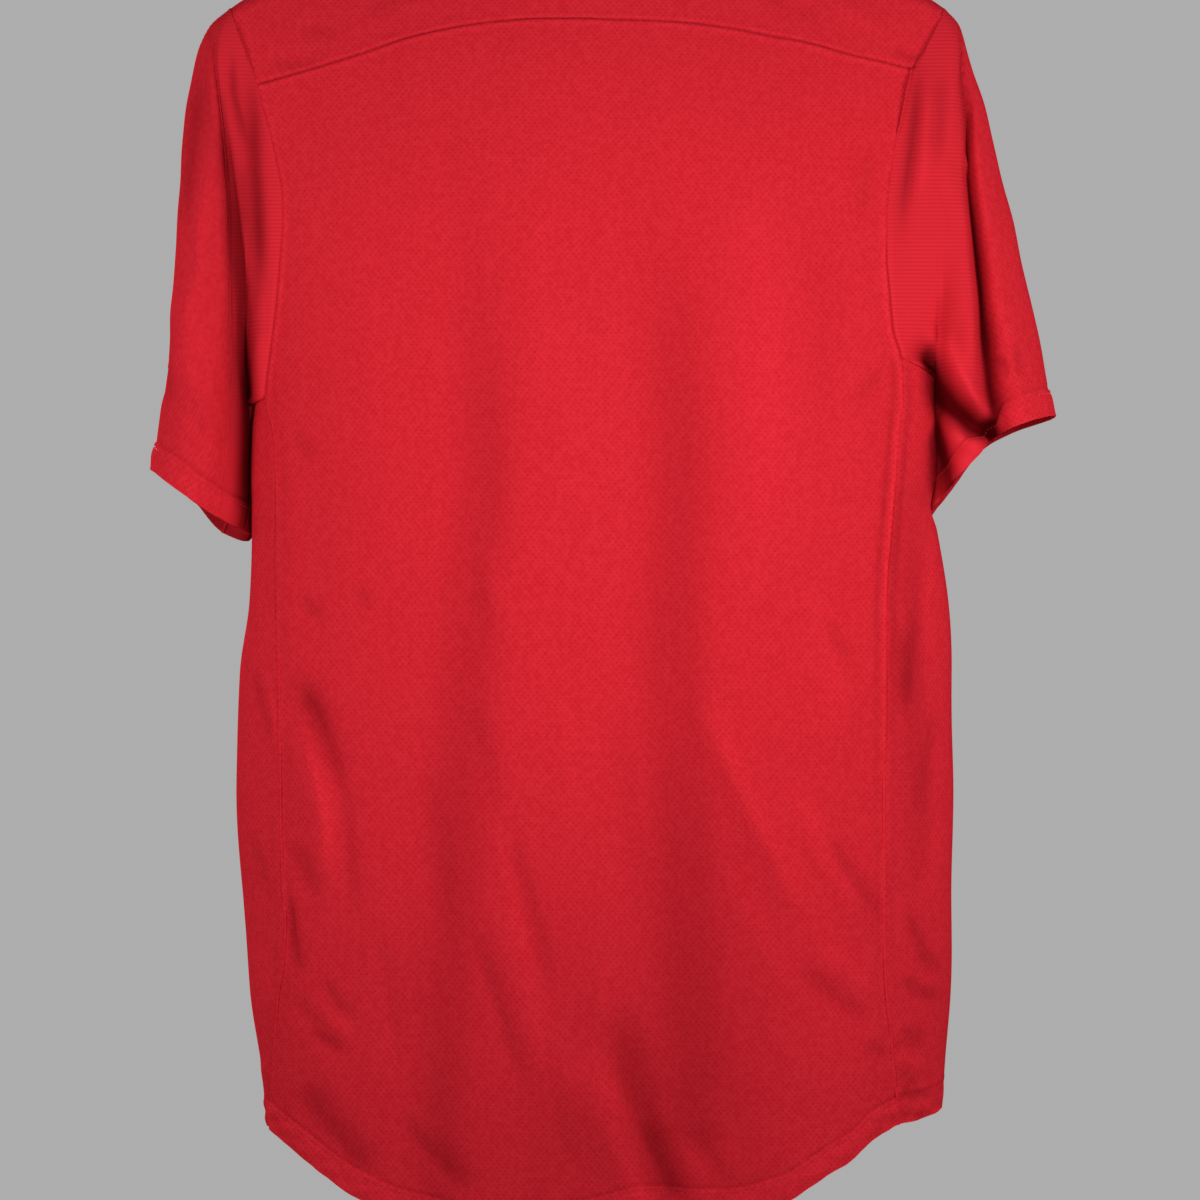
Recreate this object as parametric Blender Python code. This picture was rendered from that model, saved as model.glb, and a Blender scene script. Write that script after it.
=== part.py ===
"""A short-sleeved football jersey on a shirt hanger, as closed cloth walls in metres.

The jersey's front faces -Y, its wearer's left is +X and +Z is up. The origin is where the
hanger's hook rests on a rail. Sizes in the tables are millimetres. Each cut piece is a grid of
points on the cloth's middle surface. Pieces that are sewn together share the points of their
seam and the direction of the wall there, so that their ends lie face to face.
"""

from collections import defaultdict, namedtuple
from math import cos, pi, radians, sin

import bmesh
import bpy
import numpy as np
from mathutils import Vector

MM = 0.001
CLOTH = 1.4  # thickness of the cloth wall
SEAM_GAP = 0.36  # between the walls of two pieces that are sewn together
HEM_STEP = 0.6  # how far a folded hem stands out from the single cloth
COLLAR_STEP = 0.9  # how far the doubled rib of the collar stands out

BACK, FRONT = 1, -1
LEFT, RIGHT = 1, -1

# ---------------------------------------------------------------- torso sizes
# Half widths to the wearer's left and right, and depths behind and before the hanger. Above
# the armpits the half widths are those of the loop that the open armhole's edges lie on.
Level = namedtuple("Level", "z left right back front")
LEVELS = (
    Level(-900, 194.5, 216, 67, 62),
    Level(-827, 200.5, 220.5, 67, 61),
    Level(-798, 203, 223.5, 67, 61),
    Level(-749, 210.5, 226.5, 66, 60),
    Level(-690, 214.5, 227.5, 65, 60),
    Level(-620, 219, 229, 64, 59),
    Level(-550, 216.5, 227.5, 62, 58),
    Level(-505, 211, 224.7, 61, 57),
    Level(-462, 209.5, 219.2, 60, 56),
    Level(-446, 209.5, 215, 59, 55),
    Level(-427, 210, 218, 58, 55),
    Level(-400, 209.5, 218, 57, 54),
    Level(-379, 208, 216.6, 56, 53),
    Level(-340, 214.5, 219.5, 54, 50),
    Level(-295, 222.5, 226, 50, 46),
    Level(-250, 230.5, 232, 46, 42),
    Level(-200, 242, 245, 41, 37),
    Level(-150, 264, 266, 36, 32),
    Level(-90, 290, 290, 30, 27),
)
LOOP_ROUNDNESS = 2.4  # exponent of the rounded loop, 2 being an ellipse
OPENING_DROP = 70  # how far under the hanger the two faces have mostly parted
ARCH = 9.0  # radius of the cloth where it lies over the hanger

# The side edge of the front and back: side seam, armhole and shoulder, from the hem up.
Edge = namedtuple("Edge", "z left right")
EDGES = (
    Edge(-850, 196, -191.5),
    Edge(-819, 195.2, -191),
    Edge(-790, 193.8, -188.5),
    Edge(-768, 192.1, -186.4),
    Edge(-746, 190.4, -184),
    Edge(-731, 187.8, -183.2),
    Edge(-705, 186.2, -182.8),
    Edge(-677, 187.8, -182.7),
    Edge(-637, 189.1, -182.7),
    Edge(-590, 189.7, -182.7),
    Edge(-505, 191.5, -182.9),
    Edge(-450, 191.9, -187),
    Edge(-426, 192.2, -189.5),
    Edge(-400, 194.5, -191.8),
    Edge(-379, 199.4, -194.3),
    Edge(-355, 196.5, -193.4),
    Edge(-338, 194.3, -188.4),
    Edge(-316, 192, -186.5),
    Edge(-290, 190, -184.8),
    Edge(-270, 188.8, -184.9),
    Edge(-252, 189.2, -185.9),
    Edge(-232, 193, -188.8),
    Edge(-214, 197, -192.7),
    Edge(-197, 202, -196.3),
    Edge(-185, 204.7, -198.8),
    Edge(-175, 207.8, -201.6),
    Edge(-163, 214.3, -210.5),
    Edge(-152.4, 220.3, -218),
    Edge(-143, 222.3, -222),
    Edge(-134.5, 222.5, -222.5),
)
ARMPIT = {LEFT: -379, RIGHT: -355}
UNDERARM_DIP = {LEFT: 3, RIGHT: 11}  # the side panel's top sinks between its two corners
YOKE_CORNER = {LEFT: -184.6, RIGHT: -175}
SHOULDER_TIP = (222.5, -134.5)

# Height of the cloth over the hanger, by the distance from its middle.
Ridge = namedtuple("Ridge", "x z")
RIDGE = (
    Ridge(0, -62),
    Ridge(30, -66.5),
    Ridge(60, -76),
    Ridge(86, -85.5),
    Ridge(150, -106),
    Ridge(190, -119.5),
    Ridge(206, -125.5),
    Ridge(215, -129.5),
    Ridge(222.5, -134.5),
)

Point = namedtuple("Point", "x z")
YOKE_SEAM = (
    Point(-202.5, -175),
    Point(-185.8, -171),
    Point(-164.7, -166.6),
    Point(-131.8, -158),
    Point(-117, -155.5),
    Point(-89.7, -150.5),
    Point(-58, -147),
    Point(-26.5, -145.6),
    Point(21, -145),
    Point(52.8, -146.2),
    Point(84.4, -150.5),
    Point(116, -158),
    Point(144, -167.3),
    Point(181.7, -178.4),
    Point(204.5, -184.6),
)
BACK_HEM = (
    Point(-191, -828),
    Point(-174, -837),
    Point(-160, -849.5),
    Point(-150, -854.5),
    Point(-134, -865),
    Point(-119, -874),
    Point(-82.5, -882),
    Point(-57.5, -881),
    Point(-33.5, -878),
    Point(-11.5, -884),
    Point(27.5, -892),
    Point(67.5, -892),
    Point(107.5, -884),
    Point(143, -870),
    Point(160, -859),
    Point(181, -844),
    Point(195.4, -833.5),
)
FRONT_HEM = (
    Point(-191, -826),
    Point(-150, -839),
    Point(-100, -848),
    Point(0, -853),
    Point(100, -849),
    Point(150, -843),
    Point(195.4, -832),
)
SIDE_HEM_RISE = {LEFT: 1, RIGHT: 5}
HEM_BAND = 16.5
HEM_TURN = 1.0  # over this height the folded hem steps down to the single cloth

NECK_HALF_WIDTH = 86
BACK_NECK_DROP = 23
FRONT_YOKE_NECK = Point(72, -130)  # where the front shoulder seam meets the neckline
FRONT_NECK_DROP = 47  # from there to the middle of the front neckline
COLLAR_HEIGHT = 20
COLLAR_LEAN = 30  # degrees from upright, towards the neck

# ---------------------------------------------------------------- folds
# A fold is a soft ridge, or a trough where its height is negative, along a line on the cloth.
# fade says where it dies out: at its start (s), its end (e), or both (b). n is neither.
Fold = namedtuple("Fold", "height half_width fade path")
FOLDS = {
    BACK: (
        Fold(-4.0, 19, "s", ((67.5, -190), (68.5, -322), (65.5, -432), (78.5, -566), (90.5, -749), (94.5, -880))),
        Fold(-5.0, 20, "s", ((-27.5, -200), (-50.5, -322), (-56.5, -414), (-51.5, -536), (-57.5, -700), (-65.5, -830))),
        Fold(3.5, 22, "b", ((-97.5, -185), (-108.5, -310), (-111.5, -414), (-105.5, -520))),
        Fold(-3.5, 32, "s", ((-69.5, -580), (-83.5, -688), (-93.5, -810), (-95.5, -875))),
        Fold(3.0, 10, "b", ((-59.5, -548), (-87.5, -603), (-118.5, -675), (-160.5, -752))),
        Fold(3.0, 9, "b", ((-121.5, -612), (-154.5, -676), (-179.5, -715))),
        Fold(3.0, 12, "b", ((62.5, -660), (40.5, -737), (22.5, -798), (12.5, -850))),
        Fold(5.0, 15, "s", ((2.5, -770), (-11.5, -812), (-27.5, -850), (-37.5, -890))),
        Fold(-6.0, 15, "s", ((-25.5, -800), (-43.5, -845), (-59.5, -885))),
        Fold(3.0, 10, "b", ((178.5, -570), (162.5, -640), (161.5, -700))),
        Fold(-3.0, 10, "b", ((182.5, -545), (160.5, -603), (152.5, -625))),
        Fold(-3.0, 10, "s", ((178.5, -800), (159.5, -828), (142.5, -848))),
        Fold(2.5, 12, "b", ((-138.5, -490), (-154.5, -566), (-157.5, -610))),
    ),
    FRONT: (
        Fold(-4.0, 20, "s", ((-60, -260), (-66, -420), (-74, -600), (-88, -840))),
        Fold(-4.0, 20, "s", ((55, -250), (58, -420), (64, -600), (82, -840))),
        Fold(3.5, 22, "s", ((0, -300), (4, -500), (0, -700), (-6, -860))),
        Fold(3.0, 16, "b", ((120, -560), (140, -660), (166, -740))),
        Fold(-3.0, 14, "b", ((-118, -600), (-140, -680), (-160, -760))),
    ),
}
FOLD_FREE_DROP = 60  # under the hanger, folds only grow to their full height at this drop

# ---------------------------------------------------------------- sleeve sizes
# Rings from the armhole to the cuff. The outer point is the top of the sleeve, the inner one
# is under the arm, and bow is how far the ring bends up and towards the body between them.
Ring = namedtuple("Ring", "t outer_x outer_z inner_x inner_z bow back front")
SLEEVE_RINGS = {
    LEFT: (
        Ring(0.00, 222.5, -134.5, 208, -382, 22, 32, 30),
        Ring(0.05, 236, -146, 215, -382, 19, 34, 31),
        Ring(0.10, 243.5, -162, 217.5, -385, 17, 33, 31),
        Ring(0.25, 252, -207, 217, -400, 12, 28, 30),
        Ring(0.45, 256, -266, 214.5, -418, 6, 28, 34),
        Ring(0.65, 259.5, -320, 214.5, -427, 3, 32, 39),
        Ring(0.80, 263.5, -364, 215.5, -434, 3, 35, 42),
        Ring(0.94, 269.2, -409, 218.8, -449, 2, 36, 44),
        Ring(1.00, 272, -423, 221.4, -463, 1, 36, 45),
    ),
    RIGHT: (
        Ring(0.00, 222.5, -134.5, 216.8, -366, 24, 32, 30),
        Ring(0.05, 232.5, -146, 224, -366, 20, 36, 32),
        Ring(0.10, 237.5, -163, 226, -369, 17, 36, 32),
        Ring(0.25, 250, -204, 225, -384, 14, 35, 31),
        Ring(0.45, 262, -254, 223, -401, 12, 38, 34),
        Ring(0.65, 274, -305, 223, -414, 13, 40, 38),
        Ring(0.80, 281.5, -338, 222.8, -426, 14, 40, 41),
        Ring(0.94, 288.8, -376, 222.8, -439.5, 15, 39, 43),
        Ring(1.00, 292, -390, 223, -453, 16, 38, 44),
    ),
}
# The seams of the mesh at the back of each sleeve, as degrees round from the sleeve's top to
# the back: one starts at the shoulder's tip and one under the arm. The first lies in a valley.
Turn = namedtuple("Turn", "t seam under valley valley_width")
SLEEVE_TURNS = {
    LEFT: (
        Turn(0.00, 0, 180, 0, 12),
        Turn(0.05, 26, 180, 2, 14),
        Turn(0.10, 56, 184, 6, 16),
        Turn(0.18, 78, 192, 8, 17),
        Turn(0.30, 98, 204, 8, 16),
        Turn(0.45, 112, 218, 5, 14),
        Turn(1.00, 122, 240, 1, 12),
    ),
    RIGHT: (
        Turn(0.00, 0, 180, 0, 9),
        Turn(0.05, 14, 180, 3, 9),
        Turn(0.10, 32, 181, 8, 9),
        Turn(0.18, 41, 183, 12, 9),
        Turn(0.25, 53, 185, 14, 9),
        Turn(0.45, 64, 190, 17, 9),
        Turn(0.80, 76, 198, 18, 10),
        Turn(1.00, 80, 204, 17, 10),
    ),
}
CUFF_FRONT_DROP = {LEFT: 16, RIGHT: 11}  # the front of the cuff hangs this much lower
SLEEVE_SQUARENESS = 0.8
ARMHOLE_REACH = 0.11  # share of the sleeve over which the armhole's own shape fades out
SLEEVE_FOLDS = {
    LEFT: {
        BACK: (
            Fold(4, 13, "b", ((238, -190), (239, -280), (242, -360), (240, -430))),
        ),
        FRONT: (
            Fold(-8, 14, "b", ((224, -190), (222, -260), (218, -330), (214, -400))),
        ),
    },
    RIGHT: {
        BACK: (
            Fold(-3, 7, "b", ((200, -346), (212, -359), (222, -373))),
            Fold(-10, 10, "b", ((216, -364), (226, -378), (238, -394), (249, -403))),
            Fold(-5, 9, "b", ((199, -195), (197, -240), (192, -275))),
        ),
        FRONT: (
            Fold(-8, 14, "b", ((228, -200), (234, -270), (242, -330), (248, -400))),
        ),
    },
}

# ---------------------------------------------------------------- grid counts
HEM_ROWS = (0.0, HEM_BAND - HEM_TURN / 2, HEM_BAND + HEM_TURN / 2)
BODY_ROWS = 17  # from the hem's fold to the armpit
ARM_ROWS = 9  # from the armpit to the yoke's corner
SHOULDER_STEPS = (0.0, 0.05, 0.12, 0.25, 0.42, 0.61, 0.81, 1.0)  # from the armhole to the neck
BACK_NECK_COLUMNS = 12
FRONT_NECK_COLUMNS = 16
SHOULDERS = len(SHOULDER_STEPS) - 1
SIDE_COLUMNS = 6
YOKE_STEPS = (0.0, 0.34, 0.64, 0.85, 0.955, 1.0)  # shares of the way from seam to ridge
SLEEVE_STEPS = (0, 0.035, 0.08, 0.14, 0.21, 0.29, 0.38, 0.47, 0.56, 0.65, 0.75, 0.85, 0.936, 0.943, 1)
COLLAR_STEPS = (0.0, 0.35, 0.7, 1.0)

# ---------------------------------------------------------------- hanger sizes
HANGER_WIDTH = 440
HANGER_BAR = (13, 20)  # depth and height of its oval bar
HANGER_HUMP = (8, 17)  # height and half width of the raised middle that holds the hook
HANGER_CLEARANCE = 0.45
COLLAR_NOTCH = (0.8, 84, 7)  # depth, place and half width of the dip in the bar under the collar
HOOK_WIRE = 3.6
HOOK_INNER_RADIUS = 16
HOOK_START, HOOK_END = -52, 212  # degrees round the hook's bend
BAR_SIDES = 14

COLOURS = {
    "knit": (0.62, 0.012, 0.022),
    "mesh": (0.60, 0.011, 0.020),
    "rib": (0.56, 0.010, 0.018),
    "plastic": (0.035, 0.035, 0.038),
    "wire": (0.62, 0.62, 0.64),
}


# ---------------------------------------------------------------- curves and tables
def curve(xs, ys, at):
    """A smooth curve through (xs, ys) that never overshoots its points, read at every at."""
    xs, ys, at = (np.asarray(v, float) for v in (xs, ys, at))
    step = np.diff(xs)
    slope = np.diff(ys) / step
    tangent = np.zeros(len(xs))
    tangent[0], tangent[-1] = slope[0], slope[-1]
    same_way = slope[:-1] * slope[1:] > 0
    mean = 2 * slope[:-1] * slope[1:] / np.where(same_way, slope[:-1] + slope[1:], 1)
    tangent[1:-1] = np.where(same_way, mean, 0)
    at = np.clip(at, xs[0], xs[-1])
    i = np.clip(np.searchsorted(xs, at, side="right") - 1, 0, len(xs) - 2)
    u = (at - xs[i]) / step[i]
    rise = ys[i] * (1 + 2 * u) * (1 - u) ** 2 + ys[i + 1] * u * u * (3 - 2 * u)
    return rise + step[i] * (tangent[i] * u * (1 - u) ** 2 - tangent[i + 1] * u * u * (1 - u))


def read(rows, column, at):
    """A column of a table, read smoothly at values of the table's first column."""
    return curve([row[0] for row in rows], [getattr(row, column) for row in rows], at)


def mix(a, b, share):
    return a + (b - a) * share


def ease(share):
    """From 0 to 1 with a level start and end."""
    share = np.clip(share, 0, 1)
    return share * share * (3 - 2 * share)


def ridge_height(x):
    return read(RIDGE, "z", np.abs(x))


def edge_x(z, side):
    return read(EDGES, "left" if side == LEFT else "right", z)


def relief(folds, x, z):
    """Height of all the folds at points (x, z)."""
    x, z = np.broadcast_arrays(np.asarray(x, float), np.asarray(z, float))
    total = np.zeros(x.shape)
    for fold in folds:
        total += fold.height * fold_share(fold, x, z)
    return total


def fold_share(fold, x, z):
    """How much of a fold's height there is at points (x, z), from 0 to 1."""
    path = np.array(fold.path, float)
    runs = np.linalg.norm(np.diff(path, axis=0), axis=1)
    start = np.concatenate([[0], np.cumsum(runs)])
    nearest = np.full(x.shape, np.inf)
    travelled = np.zeros(x.shape)
    for (ax, az), (bx, bz), before, run in zip(path, path[1:], start, runs):
        share = np.clip(((x - ax) * (bx - ax) + (z - az) * (bz - az)) / run**2, 0, 1)
        away = np.hypot(x - ax - share * (bx - ax), z - az - share * (bz - az))
        closer = away < nearest
        nearest = np.where(closer, away, nearest)
        travelled = np.where(closer, (before + share * run) / start[-1], travelled)
    grown = np.ones(x.shape)
    if fold.fade in "sb":
        grown *= ease(travelled / 0.35)
    if fold.fade in "eb":
        grown *= ease((1 - travelled) / 0.35)
    return grown * np.exp(-((nearest / fold.half_width) ** 2))


# ---------------------------------------------------------------- torso
def loop_depth(x, z, face):
    """Depth of the torso's rounded loop at points (x, z), with no hanger and no folds."""
    x, z = np.broadcast_arrays(np.asarray(x, float), np.asarray(z, float))
    half = np.where(x >= 0, read(LEVELS, "left", z), read(LEVELS, "right", z))
    full = read(LEVELS, "back" if face == BACK else "front", z)
    share = np.clip(np.abs(x) / half, 0, 1)
    return full * (1 - share**LOOP_ROUNDNESS) ** (1 / LOOP_ROUNDNESS)


def torso_depth(x, z, face):
    """y of the torso's cloth at points (x, z) of its back or front."""
    drop = np.maximum(ridge_height(x) - z, 0)
    turn = np.clip(drop / ARCH, 0, 1)
    over_hanger = ARCH * np.sqrt(turn * (2 - turn))
    opened = 1 - np.exp(-((drop / OPENING_DROP) ** 1.2))
    parted = np.maximum(loop_depth(x, z, face) - ARCH, 0) * opened
    folds = relief(FOLDS[face], x, z) * ease(drop / FOLD_FREE_DROP)
    return face * (over_hanger + parted + folds)


def on_torso(xz, face):
    """Points (x, z) put on the torso's back or front."""
    x, z = xz[..., 0], xz[..., 1]
    return np.stack([x, torso_depth(x, z, face), z], axis=-1)


def patch(bottom, top, left, right):
    """A grid between four border lines of (x, z) points: rows run up, columns from left to right."""
    u = np.linspace(0, 1, len(bottom))[None, :, None]
    rise = (left[:, 1] - left[0, 1]) / (left[-1, 1] - left[0, 1])
    v = rise[:, None, None]
    corners = (
        (1 - u) * (1 - v) * left[0] + u * (1 - v) * right[0] + (1 - u) * v * left[-1] + u * v * right[-1]
    )
    between_rows = (1 - v) * bottom[None] + v * top[None]
    between_sides = (1 - u) * left[:, None] + u * right[:, None]
    return between_rows + between_sides - corners


def side_edge(side, hem_z):
    """The (x, z) points of a panel's side edge, from the hem past the armpit to the yoke."""
    body = np.linspace(hem_z + HEM_ROWS[-1], ARMPIT[side], BODY_ROWS + 1)
    arm = np.linspace(ARMPIT[side], YOKE_CORNER[side], ARM_ROWS + 1)[1:]
    z = np.concatenate([hem_z + np.array(HEM_ROWS[:-1]), body, arm])
    return np.stack([edge_x(z, side), z], axis=-1)


def hem_raise(rows, columns):
    """How far the outside of each grid point stands out: the hem's folded rows do."""
    height = np.zeros((rows, columns))
    height[: len(HEM_ROWS) - 1] = HEM_STEP
    return height


def yoke_columns():
    """x of the back yoke seam's points, from the wearer's left to right."""
    shares = np.array(SHOULDER_STEPS)
    left = mix(YOKE_SEAM[-1].x, NECK_HALF_WIDTH, shares)
    right = mix(YOKE_SEAM[0].x, -NECK_HALF_WIDTH, shares)[::-1]
    middle = np.linspace(NECK_HALF_WIDTH, -NECK_HALF_WIDTH, BACK_NECK_COLUMNS + 1)
    return np.concatenate([left, middle[1:-1], right])


def hem_line(hem, x):
    return np.stack([x, read(hem, "z", x)], axis=-1)


def back_grid():
    top_x = yoke_columns()
    top = np.stack([top_x, read(YOKE_SEAM, "z", top_x)], axis=-1)
    share = (top_x[0] - top_x) / (top_x[0] - top_x[-1])
    left = side_edge(LEFT, read(BACK_HEM, "z", BACK_HEM[-1].x))
    right = side_edge(RIGHT, read(BACK_HEM, "z", BACK_HEM[0].x))
    top[0], top[-1] = left[-1], right[-1]
    bottom = hem_line(BACK_HEM, mix(left[0, 0], right[0, 0], share))
    bottom[0], bottom[-1] = left[0], right[0]
    return on_torso(patch(bottom, top, left, right), BACK)


def front_top():
    """The front panel's top edge: shoulder seam, neckline and shoulder seam."""
    neck = FRONT_YOKE_NECK
    turn = np.linspace(0, pi, FRONT_NECK_COLUMNS + 1)
    neckline = np.stack([neck.x * np.cos(turn), neck.z - FRONT_NECK_DROP * np.sin(turn)], axis=-1)
    share = np.array(SHOULDER_STEPS)[:, None]
    corners = {s: np.array([edge_x(YOKE_CORNER[s], s), YOKE_CORNER[s]]) for s in (LEFT, RIGHT)}
    left = mix(corners[LEFT], neckline[0], share)
    right = mix(corners[RIGHT], neckline[-1], share)[::-1]
    return np.concatenate([left, neckline[1:-1], right])


def front_grid():
    top = front_top()
    left = side_edge(LEFT, read(FRONT_HEM, "z", FRONT_HEM[-1].x))
    right = side_edge(RIGHT, read(FRONT_HEM, "z", FRONT_HEM[0].x))
    share = np.linspace(0, 1, len(top))
    bottom = hem_line(FRONT_HEM, mix(left[0, 0], right[0, 0], share))
    top[0], top[-1] = left[-1], right[-1]
    bottom[0], bottom[-1] = left[0], right[0]
    return on_torso(patch(bottom, top, left, right), FRONT)


def side_grid(side, back, front):
    """The side panel: its columns run round the side from the back's seam to the front's."""
    rows = len(HEM_ROWS) + BODY_ROWS
    edge = 0 if side == LEFT else -1
    seams = {BACK: back[:rows, edge], FRONT: front[:rows, edge]}
    grid = np.zeros((rows, SIDE_COLUMNS + 1, 3))
    climb = np.linspace(0, 1, rows)
    bulge_z = mix(SIDE_HEM_RISE[side], -UNDERARM_DIP[side], climb)
    for j in range(SIDE_COLUMNS + 1):
        share = j / SIDE_COLUMNS
        face = BACK if share <= 0.5 else FRONT
        z = mix(seams[BACK][:, 2], seams[FRONT][:, 2], share) + bulge_z * sin(pi * share)
        half = read(LEVELS, "left" if side == LEFT else "right", z)
        seam_x, seam_y = np.abs(edge_x(z, side)), torso_depth(edge_x(z, side), z, face)
        seam_turn = np.arccos(np.clip(seam_x / half, 0, 1) ** (LOOP_ROUNDNESS / 2))
        turn = seam_turn * abs(1 - 2 * share)
        x = half * np.cos(turn) ** (2 / LOOP_ROUNDNESS)
        y = seam_y * (np.sin(turn) / np.sin(seam_turn)) ** (2 / LOOP_ROUNDNESS)
        grid[:, j] = np.stack([side * x, y, z], axis=-1)
    grid[:, 0], grid[:, -1] = seams[BACK], seams[FRONT]
    return grid


def yoke_grid(back, front):
    """Rows run from the back yoke seam over the hanger to the front shoulder seams. The front
    rows have no cells in the middle, where the neck is open."""
    steps = np.array(YOKE_STEPS)
    half = len(steps) - 1
    grid = np.zeros((2 * half + 1, back.shape[1], 3))
    grid[0] = back[-1]
    middle = back.shape[1] - 1 - 2 * SHOULDERS
    turn = np.linspace(0, pi, middle + 1)
    neck_z = ridge_height(NECK_HALF_WIDTH)
    neckline = np.stack([NECK_HALF_WIDTH * np.cos(turn), neck_z - BACK_NECK_DROP * np.sin(turn)], axis=-1)
    for i in range(1, middle):
        seam = back[-1, SHOULDERS + i][[0, 2]]
        line = mix(seam, neckline[i], steps[:, None])
        grid[: half + 1, SHOULDERS + i] = on_torso(line, BACK)
    for i, inward in enumerate(SHOULDER_STEPS):
        for side in (LEFT, RIGHT):
            column = i if side == LEFT else -1 - i
            edge_z = mix(YOKE_CORNER[side], SHOULDER_TIP[1], steps)
            outer = edge_x(edge_z, side)
            behind = np.stack(
                [
                    mix(outer, side * NECK_HALF_WIDTH, inward),
                    mix(back[-1, column][2], ridge_height(mix(SHOULDER_TIP[0], NECK_HALF_WIDTH, inward)), steps),
                ],
                axis=-1,
            )
            before_x = side * (FRONT_YOKE_NECK.x + (NECK_HALF_WIDTH - FRONT_YOKE_NECK.x) * np.sqrt(steps))
            before = np.stack(
                [mix(outer, before_x, inward), mix(front[-1, column][2], behind[-1, 1], steps)], axis=-1
            )
            grid[: half + 1, column] = on_torso(behind, BACK)
            grid[half:, column] = on_torso(before[::-1], FRONT)
            grid[0, column], grid[-1, column] = back[-1, column], front[-1, column]
    cells = np.ones((2 * half, back.shape[1] - 1), bool)
    cells[half:, SHOULDERS:-SHOULDERS] = False
    return grid, cells


# ---------------------------------------------------------------- sleeves
def armhole(side, back, front, side_panel, yoke):
    """The armhole's points in order: from the shoulder's tip down the back, round under the
    arm, and up the front."""
    edge = 0 if side == LEFT else -1
    first_arm_row = len(HEM_ROWS) + BODY_ROWS - 1
    half = len(YOKE_STEPS) - 1
    yoke_edge = yoke[:, edge]
    return np.concatenate(
        [
            yoke_edge[half:0:-1],
            back[:first_arm_row:-1, edge],
            side_panel[-1, :-1],
            front[first_arm_row:, edge],
            yoke_edge[-2:half:-1],
        ]
    )


def ring_place(rings, turn, t):
    """The (x, z) point of a sleeve's ring before it is put on its side, turn being the angle
    from its top round the back."""
    outer = np.array([read(rings, "outer_x", t), read(rings, "outer_z", t)])
    inner = np.array([read(rings, "inner_x", t), read(rings, "inner_z", t)])
    along = inner - outer
    across = np.array([along[1], -along[0]]) / np.linalg.norm(along)
    share = (1 - cos(turn)) / 2
    return outer + along * share + across * float(read(rings, "bow", t)) * 4 * share * (1 - share)


def ring_point(side, turn, t):
    """A point of a sleeve's ring, with no folds."""
    rings = SLEEVE_RINGS[side]
    place = ring_place(rings, turn, t)
    face = BACK if sin(turn) >= 0 else FRONT
    depth = float(read(rings, "back" if face == BACK else "front", t))
    y = face * depth * abs(sin(turn)) ** SLEEVE_SQUARENESS
    if face == FRONT:
        place[1] -= CUFF_FRONT_DROP[side] * ease(t) * abs(sin(turn)) ** 0.6
    return np.array([side * place[0], y, place[1]])


def sleeve_relief(side, turn, t, point):
    """How far a point of a sleeve stands out of its ring: its folds and the seam's valley."""
    turns, rings = SLEEVE_TURNS[side], SLEEVE_RINGS[side]
    face = BACK if sin(turn) >= 0 else FRONT
    height = float(relief(SLEEVE_FOLDS[side][face], abs(point[0]), point[2]))
    if face == BACK:
        bottom = ring_place(rings, radians(float(read(turns, "seam", t))), t)
        away = np.linalg.norm(ring_place(rings, turn, t) - bottom)
        width = float(read(turns, "valley_width", t))
        height -= float(read(turns, "valley", t)) * np.exp(-((away / width) ** 2))
    return face * height * float(ease(t / 0.1)) * abs(sin(turn)) ** 0.5


def loop_turns(points):
    """The turn of each point of a closed loop whose point at half way round is under the arm."""
    lengths = np.linalg.norm(np.roll(points, -1, axis=0) - points, axis=1)
    reached = np.concatenate([[0], np.cumsum(lengths)])
    lowest = len(YOKE_STEPS) - 1 + ARM_ROWS + SIDE_COLUMNS // 2
    down = pi * reached[: lowest + 1] / reached[lowest]
    up = pi + pi * (reached[lowest + 1 : -1] - reached[lowest]) / (reached[-1] - reached[lowest])
    return np.concatenate([down, up])


def sleeve_grid(side, opening):
    """Rows run from the armhole to the cuff, and columns round the sleeve, closing on the first."""
    turns = SLEEVE_TURNS[side]
    at_armhole = loop_turns(opening)
    count = len(opening)
    lowest = int(np.argmin(np.abs(at_armhole - pi)))
    even = np.concatenate([np.linspace(0, pi, lowest + 1), np.linspace(pi, 2 * pi, count - lowest + 1)[1:-1]])
    own_shape = opening - np.array([ring_point(side, turn, 0) for turn in at_armhole])
    grid = np.zeros((len(SLEEVE_STEPS), count + 1, 3))
    for k, t in enumerate(SLEEVE_STEPS):
        seam, under = (radians(float(read(turns, name, t))) for name in ("seam", "under"))
        places = mix(at_armhole, even, ease(t / 0.6)) / pi
        left_over = 1 - ease(t / ARMHOLE_REACH)
        nearness = 2 - ease(t / 0.2)
        for i, place in enumerate(places):
            turn = pi * place + mix(under - pi, seam, abs(1 - place) ** nearness)
            below_top = min(1, 4 * (1 - cos(turn)))
            point = ring_point(side, turn, t) + own_shape[i] * left_over * below_top
            point[1] += sleeve_relief(side, turn, t, point)
            grid[k, i] = point
    grid[0, :-1] = opening
    grid[:, -1] = grid[:, 0]
    return grid


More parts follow.
